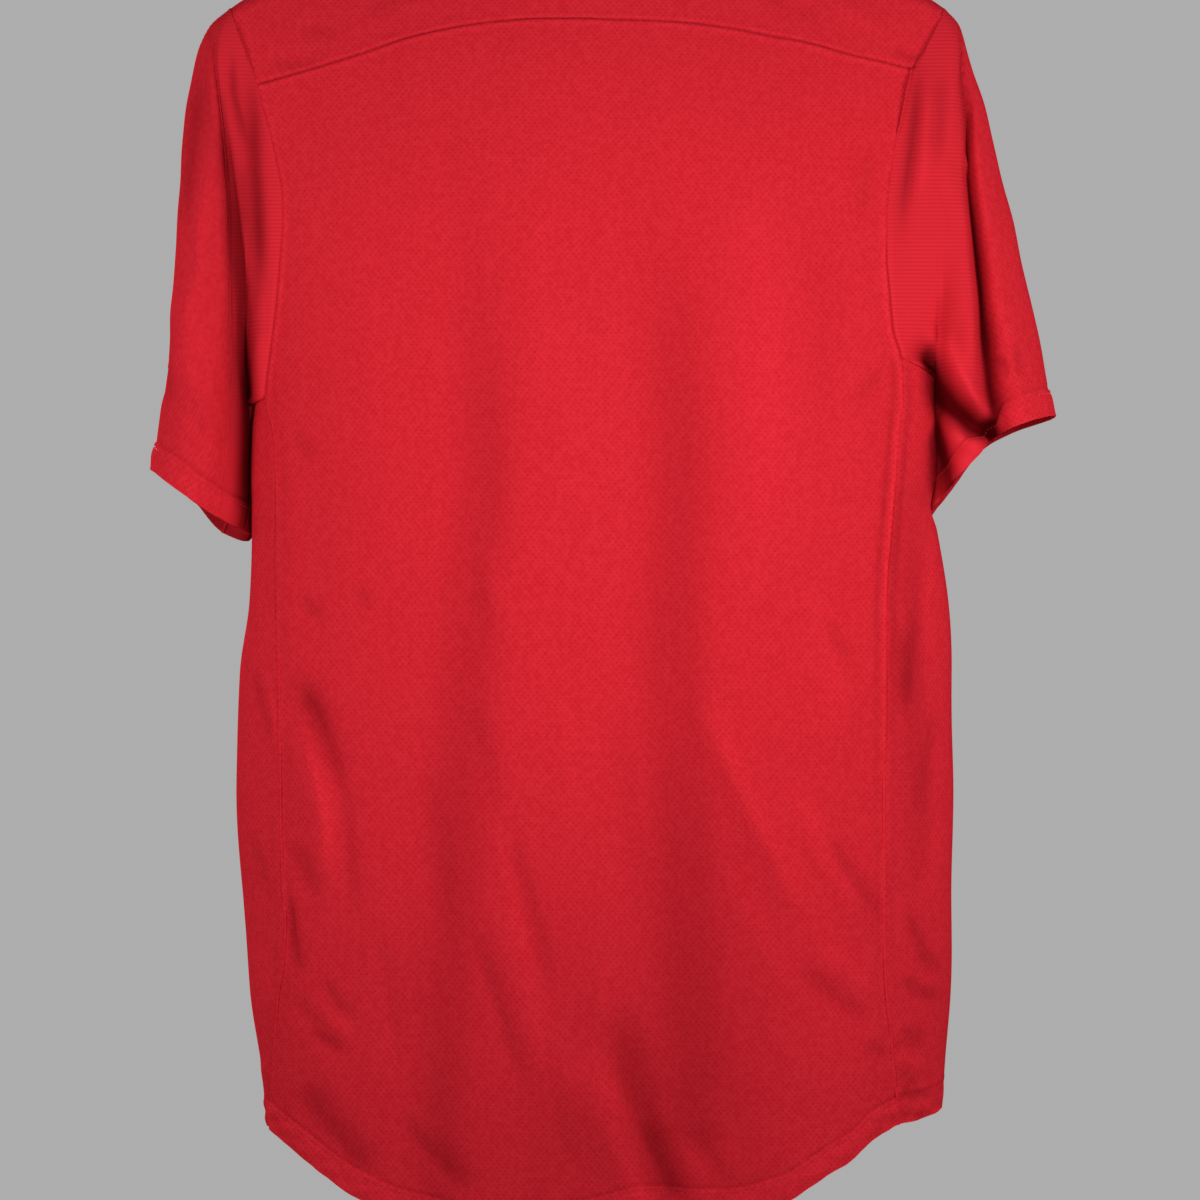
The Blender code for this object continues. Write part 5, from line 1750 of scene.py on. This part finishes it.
@dataclass
class Sleeve:
    """A short sleeve: its main piece and the mesh inset at its back.

    Attributes:
        side: The wearer's side.
        body: The body that it is sewn to.
        tuck: How far the cuff is drawn in towards the body and forwards.
        seam_ridge: How far the inset's seams stand out.
        settling: How often the cloth under the arm is smoothed along the sleeve.
        front_drop: How much lower the cuff's front hangs, all of it near the body.
        outer_drop: The share of that drop on the outer side.
        squareness: How flat the sleeve is over its back and front, less being flatter.
        armhole_reach: Over this share of its length it leaves the armhole's shape.
    """

    side: Side
    body: Body
    tuck: tuple[float, float]
    seam_ridge: float = 0.7
    settling: int = 0
    settled_round: Span = Span(0.5, 0.2)
    settled_along: Span = Span(0.45, 0.25)
    front_drop: float = 11
    outer_drop: float = 0.35
    drop_span: Span = Span(0.35, 0.75)
    drop_flatness: float = 0.6
    squareness: float = 0.8
    armhole_reach: float = 0.11
    armhole_hold: float = 4
    armhole_points: tuple[int, int, int] = (40, 90, 61)
    turn_reach: float = 0.2
    fold_reach: float = 0.06
    fold_flank: float = 0.35
    tuck_power: int = 5
    tuck_span: Span = Span(0.04, 0.24)
    # How the painted shade spreads over the seam's valley, and the painted shade where the sleeve turns in
    # by the body.
    valley_tone_width: float = 0.8
    inner_tone: float = 0.8
    inner_tone_power: int = 14
    inner_tone_span: Span = Span(0.25, 0.45)
    around: Spacing = Spacing(300, 0.9, 2.8, 16)
    inset_around: Spacing = Spacing(250, 0.9, 2.8, 16)
    armhole_rows: tuple[float, ...] = (0, 0.004, 0.009, 0.015, 0.022)
    rows: tuple[float, float, int] = (0.03, 0.925, 96)
    cuff_rows: tuple[float, float, int] = (0.93, 1.0, 22)
    knit: Finish = BirdseyeKnit()
    mesh: Finish = WaffleMesh()
    ripple: Ripple = Ripple(0.3, 40, 21, 1.5)
    ripple_shift: float = 500
    ripple_reach: float = 0.15
    cuff_ripple: Ripple = Ripple(0.25, 12, 17)
    cuff_rippled: Span = Span(24, 12)
    seam_reach: float = 0.1
    seam_loss: float = 0.8
    seam_fade: float = 0.6

    def armhole(self, places: Array) -> Array:
        """The armhole's points at places round it.

        Args:
            places: 0 at the shoulder's tip, 1 under the arm, and 2 at the tip again.

        Returns:
            A point for each place.
        """
        torso = self.body.torso
        on_yoke, on_arm, below = self.armhole_points
        ends = torso.shoulder_tip.z, torso.yoke_corner[self.side]
        yoke = torso.edge_line(self.side, *ends, np.linspace(0, 1, on_yoke))
        down = np.concatenate([yoke[:-1], torso.arm_line(self.side, np.linspace(1, 0, on_arm))])
        under = self.body.side_points(self.side, np.array([1.0]), np.linspace(0, 1, below))[0]
        back = torso.place(down, Face.BACK)
        loop = np.concatenate([back[:-1], under[:-1], torso.place(down[::-1], Face.FRONT)])
        far = reach(loop[None], 1)[0]
        half, whole = far[len(back) - 1 + below // 2], far[-1]
        turned = np.where(far <= half, far / half, 1 + (far - half) / (whole - half))
        return read_line(places, turned, loop)

    def ring_place(self, turn: Array, t: float) -> Array:
        """Points (x, z) of a ring before it is put on its side, turn being the angle from its top."""
        rings = RINGS[self.side]
        outer = np.array([rings.read("outer_x", t), rings.read("outer_z", t)])
        inner = np.array([rings.read("inner_x", t), rings.read("inner_z", t)])
        along = inner - outer
        across = np.array([along[1], -along[0]]) / np.linalg.norm(along)
        share = ((1 - np.cos(turn)) / 2)[..., None]
        return outer + along * share + across * float(rings.read("bow", t)) * 4 * share * (1 - share)

    def ring(self, turn: Array, t: float) -> Array:
        """The points of a ring, with no folds."""
        rings = RINGS[self.side]
        place = self.ring_place(turn, t)
        behind = np.sin(turn) >= 0
        depth = np.where(behind, float(rings.read("back", t)), float(rings.read("front", t)))
        flank = np.abs(np.sin(turn))
        y = np.where(behind, 1, -1) * depth * flank**self.squareness
        inward = self.drop_span.share((1 - np.cos(turn)) / 2)
        drop = self.front_drop * ease(t) * flank**self.drop_flatness * mix(self.outer_drop, 1, inward)
        z = place[..., 1] - np.where(behind, 0, drop)
        return np.stack([self.side.value * place[..., 0], y, z], axis=-1)

    def both_faces(self, folds: dict[Face, tuple], points: Array, behind: Array) -> Array:
        """The height of the back's folds behind and of the front's before."""
        x, z = np.abs(points[..., 0]), points[..., 2]
        return np.where(behind, relief(folds[Face.BACK], x, z), relief(folds[Face.FRONT], x, z))

    def fold_height(self, turn: Array, t: float, points: Array) -> Array:
        """How far the points of a ring stand out: the main folds and the seam's valley."""
        turns = TURNS[self.side]
        behind = np.sin(turn) >= 0
        bottom = self.ring_place(np.array(radians(float(turns.read("seam", t)))), t)
        away = np.linalg.norm(self.ring_place(turn, t) - bottom, axis=-1)
        valley = float(turns.read("valley", t)) * bell(away, float(turns.read("valley_width", t)))
        height = self.both_faces(SLEEVE_FOLDS[self.side], points, behind) - np.where(behind, valley, 0)
        shown = float(ease(t / self.fold_reach)) * ease(np.abs(np.sin(turn)) / self.fold_flank)
        return np.where(behind, 1, -1) * height * shown

    def depth(self, points: Array, places: Array, steps: Array, seam: Array) -> Array:
        """The sleeve's painted shade: in its folds, in the seam's valley and by the body.

        Args:
            points: The grid's points.
            places: Its columns' places round the sleeve.
            steps: Its rows' shares of the way to the cuff.
            seam: The column of points on the seam.

        Returns:
            The painted shade at each point.
        """
        turns = TURNS[self.side]
        x, z = np.abs(points[..., 0]), points[..., 2]
        behind = points[..., 1] > 0
        total = np.zeros(x.shape)
        for face, shown in ((Face.BACK, behind), (Face.FRONT, ~behind)):
            folds = SLEEVE_FOLDS[self.side][face] + SLEEVE_CREASES[self.side][face]
            total += tone(folds, x, z) * shown
        away = np.linalg.norm(points - seam[:, None], axis=-1)
        for k, t in enumerate(steps):
            width = float(turns.read("valley_width", t))
            valley = float(turns.read("valley", t)) * bell(away[k], width * self.valley_tone_width)
            total[k] += tone_per_mm(width) * valley * behind[k]
            inmost = ((1 - np.cos(self.turn(places, t))) / 2) ** self.inner_tone_power
            total[k] += self.inner_tone * inmost * float(self.inner_tone_span.share(t))
        return FLAT_SHADE + total

    def turn(self, places: Array, t: float) -> Array:
        """Angles from a ring's top at places round it."""
        seam, under = (radians(float(TURNS[self.side].read(name, t))) for name in ("seam", "under"))
        return pi * places + mix(under - pi, seam, np.abs(1 - places) ** (2 - ease(t / self.turn_reach)))

    def grid(self, places: Array, steps: Array) -> Array:
        """The sleeve's points: rows from the armhole to the cuff, columns round it."""
        opening = self.armhole(places)
        own_shape = opening - self.ring(places * pi, 0)
        grid = np.zeros((len(steps), len(places), 3))
        for k, t in enumerate(steps):
            turn = self.turn(places, t)
            below_top = np.minimum(1, self.armhole_hold * (1 - np.cos(turn)))[..., None]
            grid[k] = self.ring(turn, t) + own_shape * (1 - ease(t / self.armhole_reach)) * below_top
        grid[0] = opening
        settled = grid.copy()
        for _ in range(self.settling):
            settled[1:-1] = (settled[:-2] + 2 * settled[1:-1] + settled[2:]) / 4
        under_arm = self.settled_round.share(np.abs(1 - places)) * self.settled_along.share(steps)[:, None]
        grid = mix(grid, settled, under_arm[..., None])
        for k, t in enumerate(steps[1:], 1):
            turn = self.turn(places, t)
            grid[k, :, 1] += self.fold_height(turn, t, grid[k])
            inmost = ((1 - np.cos(turn)) / 2) ** self.tuck_power * float(self.tuck_span.share(t))
            grid[k, :, 0] -= self.side.value * self.tuck[0] * inmost
            grid[k, :, 1] -= self.tuck[1] * inmost
        return grid

    def panel(self, inset: bool) -> Panel:
        """The mesh inset, or the main piece.

        Args:
            inset: Whether it is the mesh inset.

        Returns:
            The cut piece.
        """
        side = self.side
        places = self.inset_around.shares() if inset else self.around.shares() + 1
        steps = np.concatenate([self.armhole_rows, np.linspace(*self.rows), np.linspace(*self.cuff_rows)])
        points = self.grid(places, steps)
        z = points[..., 2]
        length, from_armhole = reach(points, 1), reach(points, 0)
        from_cuff = from_armhole[-1:] - from_armhole
        hem = HEM.profile(from_cuff)
        raised = self.both_faces(SLEEVE_CREASES[side], points, points[..., 1] > 0)
        hung = ease(steps / self.ripple_reach)[:, None]
        raised += self.ripple.at(length + self.ripple_shift * side.value, z) * hung
        seam_size = self.seam_ridge * ease(steps / self.seam_reach)
        seam_size *= 1 - self.seam_loss * ease(steps / self.seam_fade)
        raised += PIPED.height(np.minimum(length, length[:, -1:] - length), seam_size[:, None])
        raised += ARMHOLE.height(from_armhole, ARMHOLE_SEAMS[side].at(z))
        raised += hem / 2 + self.cuff_ripple.at(length, z) * self.cuff_rippled.share(from_cuff)
        # depth is painted shade in the folds, the seam's valley, by the body, at the cuff and at the armhole
        # seam, with painted highlights on ridges.
        depth = self.depth(points, places, steps, points[:, 0 if inset else -1]) + HEM.tone(from_cuff)
        depth += ARMHOLE.tone(from_armhole, ARMHOLE_SEAMS[side].at(z))
        across = length - length[:, len(places) // 2][:, None]
        name = f"sleeve_mesh_{side.word}" if inset else f"sleeve_{side.word}"
        return Panel(
            f"{name}_panel", name, self.mesh if inset else self.knit, points, raised, hemmed_wall(hem),
            flip=side is Side.LEFT,
            flat=np.stack([across, z if inset else -from_cuff], axis=-1),
            tone=depth,
            turned=(Border.FIRST, Border.LAST, Border.LOW),
        )

    def panels(self) -> list[Panel]:
        """The pieces of the sleeve."""
        return [self.panel(False), self.panel(True)]


@dataclass
class Collar:
    """A round collar of doubled rib."""

    torso: Torso = TORSO
    height: float = 20
    lean: float = 30
    set_out: float = 0.35
    layer: float = 0.95
    turn_radius: float = 0.85
    overlap: float = 1.6
    inner_start: float = 0.6
    behind: Spacing = Spacing(190, 1.4, 2.4, 12)
    before: Spacing = Spacing(200, 1.4, 2.4, 12)
    side_crowding: float = 1.6
    side_points: int = 26
    rows: tuple[int, int, int] = (15, 7, 14)
    seam: Swell = Swell(0.25, 2.5, 1.5)
    wave: Swell = Swell(0.1, 19, 6)
    wave_turn: float = 0.35
    rib: Finish = CollarRib()

    def neckline(self) -> Array:
        """The line that the collar is sewn to, once round and closed."""
        torso = self.torso
        behind = torso.place(torso.back_neckline(self.behind.shares()), Face.BACK)
        steps = 1 - np.linspace(0, 1, self.side_points) ** self.side_crowding
        sides = {}
        for side in Side:
            x = side.value * torso.front_neck_x(steps)
            z = mix(torso.front_yoke_neck.z, torso.ridge(torso.neck_half_width), steps)
            sides[side] = torso.place(np.stack([x, z], axis=-1), Face.FRONT)
        front = torso.place(torso.front_top(np.array([1.0]), self.before.shares()), Face.FRONT)
        return np.concatenate([behind, sides[Side.RIGHT][1:], front[::-1][1:], sides[Side.LEFT][::-1][1:]])

    def panel(self) -> Panel:
        """The collar, up its outside, over its top edge and down its inside."""
        base = self.neckline()
        inward = -base * np.array([1, 1, 0])
        inward /= np.maximum(np.linalg.norm(inward, axis=-1, keepdims=True), TINY)
        lean = radians(self.lean)
        rise = np.array([0, 0, cos(lean)]) + inward * sin(lean)
        out = np.array([0, 0, sin(lean)]) - inward * cos(lean)
        half = self.turn_radius
        straight = self.height - half
        outside, over, inside = self.rows
        spots = [(up, half) for up in np.linspace(-self.overlap, straight, outside)]
        for a in np.linspace(pi / 2, -pi / 2, over)[1:-1]:
            spots.append((straight + half * cos(a), half * sin(a)))
        spots += [(up, -half) for up in np.linspace(straight, self.inner_start, inside)]
        grid = np.stack([base + rise * up + out * (side + self.set_out) for up, side in spots])
        around = reach(base[None], 1)[0]
        up = np.array([up for up, _ in spots])[:, None]
        waved = np.sin(around * self.wave_turn) * swells([self.wave], up)
        raised = waved + swells([self.seam], up)
        return Panel(
            "collar_band", "collar", self.rib, grid, raised, np.full(grid.shape[:2], self.layer),
            closed=True,
            flat=np.stack([np.broadcast_to(around, grid.shape[:2]), reach(grid, 0)], axis=-1),
        )


# -------- sewing
@dataclass
class Stitching:
    """Rows of stitches on the outside of the cloth, as one joined mesh."""

    name: str
    pitch: float = 2.8
    length: float = 2.1
    radius: float = 0.26
    lift: float = 0.3
    flatness: float = 0.8
    start: float = 0.4
    facets: tuple[int, int] = (6, 4)
    finish: Finish = SewingThread()
    lines: list[tuple[Array, Array]] = field(default_factory=list)

    def along(self, panel: Panel, distance: Array, at: float) -> None:
        """Adds a row at a distance from a hem.

        Args:
            panel: The piece that it is sewn on, whose rows start or end at the hem.
            distance: Each grid point's distance from the hem.
            at: The row's distance from it.
        """
        surface, normals = panel.surface(), panel.normals()
        outside = surface + normals * (panel.thickness[..., None] / 2)
        if distance[0].mean() > distance[-1].mean():
            outside, normals, distance = outside[::-1], normals[::-1], distance[::-1]
        columns = range(outside.shape[1])
        spots, ways = (
            np.array([read_line(at, distance[:, c], grid[:, c]) for c in columns])
            for grid in (outside, normals)
        )
        self.lines.append((spots, ways))

    def build(self) -> bpy.types.Object:
        """Makes the stitches' object."""
        made = bmesh.new()
        size = Vector((self.radius, self.length / 2, self.radius * self.flatness)) * MM
        round_it, along_it = self.facets
        for spots, ways in self.lines:
            far = reach(spots[None], 1)[0]
            for start in np.arange(self.start, far[-1] - self.length, self.pitch):
                first, last = (read_line(at, far, spots) for at in (start, start + self.length))
                way = Vector(read_line(start, far, ways)).normalized()
                run = Vector(last - first).normalized()
                turn = Matrix((way.cross(run).normalized(), run, way)).transposed().to_4x4()
                middle = (Vector(first) + Vector(last)) / 2 + way * self.radius * self.lift
                place = Matrix.Translation(middle * MM) @ turn @ Matrix.Diagonal((*size, 1))
                bmesh.ops.create_uvsphere(
                    made, u_segments=round_it, v_segments=along_it, radius=1, matrix=place
                )
        for face in made.faces:
            face.smooth = True
        piece = made_piece(made, self.name, self.finish)
        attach(piece, "root")
        LOG.info("%s: %d faces", self.name, len(piece.data.polygons))
        return piece


@dataclass
class Hanger:
    """The plain shirt hanger, whose solids already have its form."""

    plastic: Finish = MouldedPlastic()
    wire: Finish = PlatedWire()

    def dress(self) -> None:
        """Gives the bar and the hook their finishes."""
        for node, finish in (("hanger", self.plastic), ("hook", self.wire)):
            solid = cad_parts[node]
            for slot in solid.material_slots:
                slot.material = finished(finish)
            LOG.info("%s keeps its solid", node)


# -------- studio
@dataclass(frozen=True)
class Softbox:
    """A soft lamp: its place, the point it faces, its size and its power."""

    name: str
    place: tuple[float, float, float]
    towards: tuple[float, float, float]
    size: float
    power: float


@dataclass(frozen=True)
class Studio:
    """A pale floor, soft lamps and the camera behind the jersey."""

    camera_place: tuple[float, float, float] = (-0.0079, 2.26, -0.505)
    field_width: float = 0.732
    field_distance: float = 2.2
    sensor: float = 36.0
    clip: tuple[float, float] = (0.05, 50)
    floor_height: float = -1.5
    floor: PaleFloor = PaleFloor()
    world: float = 0.09
    backdrop: float = 0.42
    lamps: tuple[Softbox, ...] = (
        Softbox("key", (-0.07, 0.70, -0.36), (-0.035, 0, -0.38), 0.3, 2.6),
        Softbox("rear left", (0.95, 0.75, -0.3), (0.1, 0, -0.42), 0.5, 4.4),
        Softbox("rear right", (-0.95, 0.75, -0.22), (-0.1, 0, -0.42), 0.5, 5.8),
        Softbox("front", (1.0, -1.75, 0.45), (0, 0, -0.4), 0.9, 28),
        Softbox("left", (1.8, -0.8, 0.2), (0, 0, -0.5), 1.2, 12),
        Softbox("right", (-1.8, -1.1, 0.2), (0, 0, -0.5), 1.2, 12),
    )

    def camera(self) -> None:
        """Places the camera, level and square on."""
        data = bpy.data.cameras.new("camera")
        data.sensor_width = self.sensor
        data.lens = self.sensor * self.field_distance / self.field_width
        data.clip_start, data.clip_end = self.clip
        made = bpy.data.objects.new("camera", data)
        made.location = self.camera_place
        made.rotation_euler = (radians(90), 0, radians(180))
        bpy.context.scene.collection.objects.link(made)
        bpy.context.scene.camera = made

    def light(self) -> None:
        """Places the lamps and the even light round them."""
        for lamp in self.lamps:
            data = bpy.data.lights.new(lamp.name, "AREA")
            data.shape = "DISK"
            data.size, data.energy = lamp.size, lamp.power
            made = bpy.data.objects.new(lamp.name, data)
            made.location = lamp.place
            way = Vector(lamp.towards) - Vector(lamp.place)
            made.rotation_euler = way.to_track_quat("-Z", "Y").to_euler()
            bpy.context.scene.collection.objects.link(made)
        world = bpy.data.worlds.new("studio")
        world.use_nodes = True
        tree = world.node_tree
        surround = tree.nodes["Background"]
        surround.inputs["Color"].default_value = (1.0, 1.0, 1.0, 1.0)
        path = tree.nodes.new("ShaderNodeLightPath")
        strength = tree.nodes.new("ShaderNodeMapRange")
        strength.inputs["To Min"].default_value = self.world
        strength.inputs["To Max"].default_value = self.backdrop
        tree.links.new(path.outputs["Is Camera Ray"], strength.inputs["Value"])
        tree.links.new(strength.outputs["Result"], surround.inputs["Strength"])
        bpy.context.scene.world = world
        bpy.context.scene.view_settings.view_transform = "Standard"

    def lay_floor(self) -> None:
        """Lays the floor under the jersey."""
        made = bmesh.new()
        floor = self.floor
        bmesh.ops.create_circle(made, cap_ends=True, segments=floor.segments, radius=floor.radius)
        piece = made_piece(made, floor.name, floor)
        piece.location = (0, 0, self.floor_height)

    def set_up(self) -> None:
        """Places everything round the jersey."""
        self.camera()
        self.light()
        self.lay_floor()


def sew(panels: Sequence[Panel]) -> None:
    """Sews the hem and the cuffs."""
    hem = Stitching("hem_stitches")
    cuffs = Stitching("cuff_stitches")
    for panel in panels:
        if panel.node in ("back", "front"):
            x, z = panel.points[..., 0], panel.points[..., 2]
            hem.along(panel, z - HEMS[Face[panel.node.upper()]].read("z", x), HEM.stitch_line)
        elif panel.node.startswith("side"):
            hem.along(panel, reach(panel.points, 0), HEM.stitch_line)
        elif panel.node.startswith("sleeve"):
            from_armhole = reach(panel.points, 0)
            cuffs.along(panel, from_armhole[-1:] - from_armhole, HEM.stitch_line)
    hem.build()
    cuffs.build()


def main() -> None:
    """Builds and dresses the jersey."""
    logging.basicConfig(level=logging.INFO, format="%(name)s: %(message)s")
    Studio().set_up()
    body = Body()
    sleeves = [
        Sleeve(Side.LEFT, body, tuck=(9, 20)),
        Sleeve(Side.RIGHT, body, tuck=(10, 24), seam_ridge=0.0, settling=40),
    ]
    panels = body.panels()
    for sleeve in sleeves:
        panels += sleeve.panels()
    panels.append(Collar().panel())
    for panel in panels:
        panel.build()
    sew(panels)
    Hanger().dress()


if __name__ == "__main__":
    main()
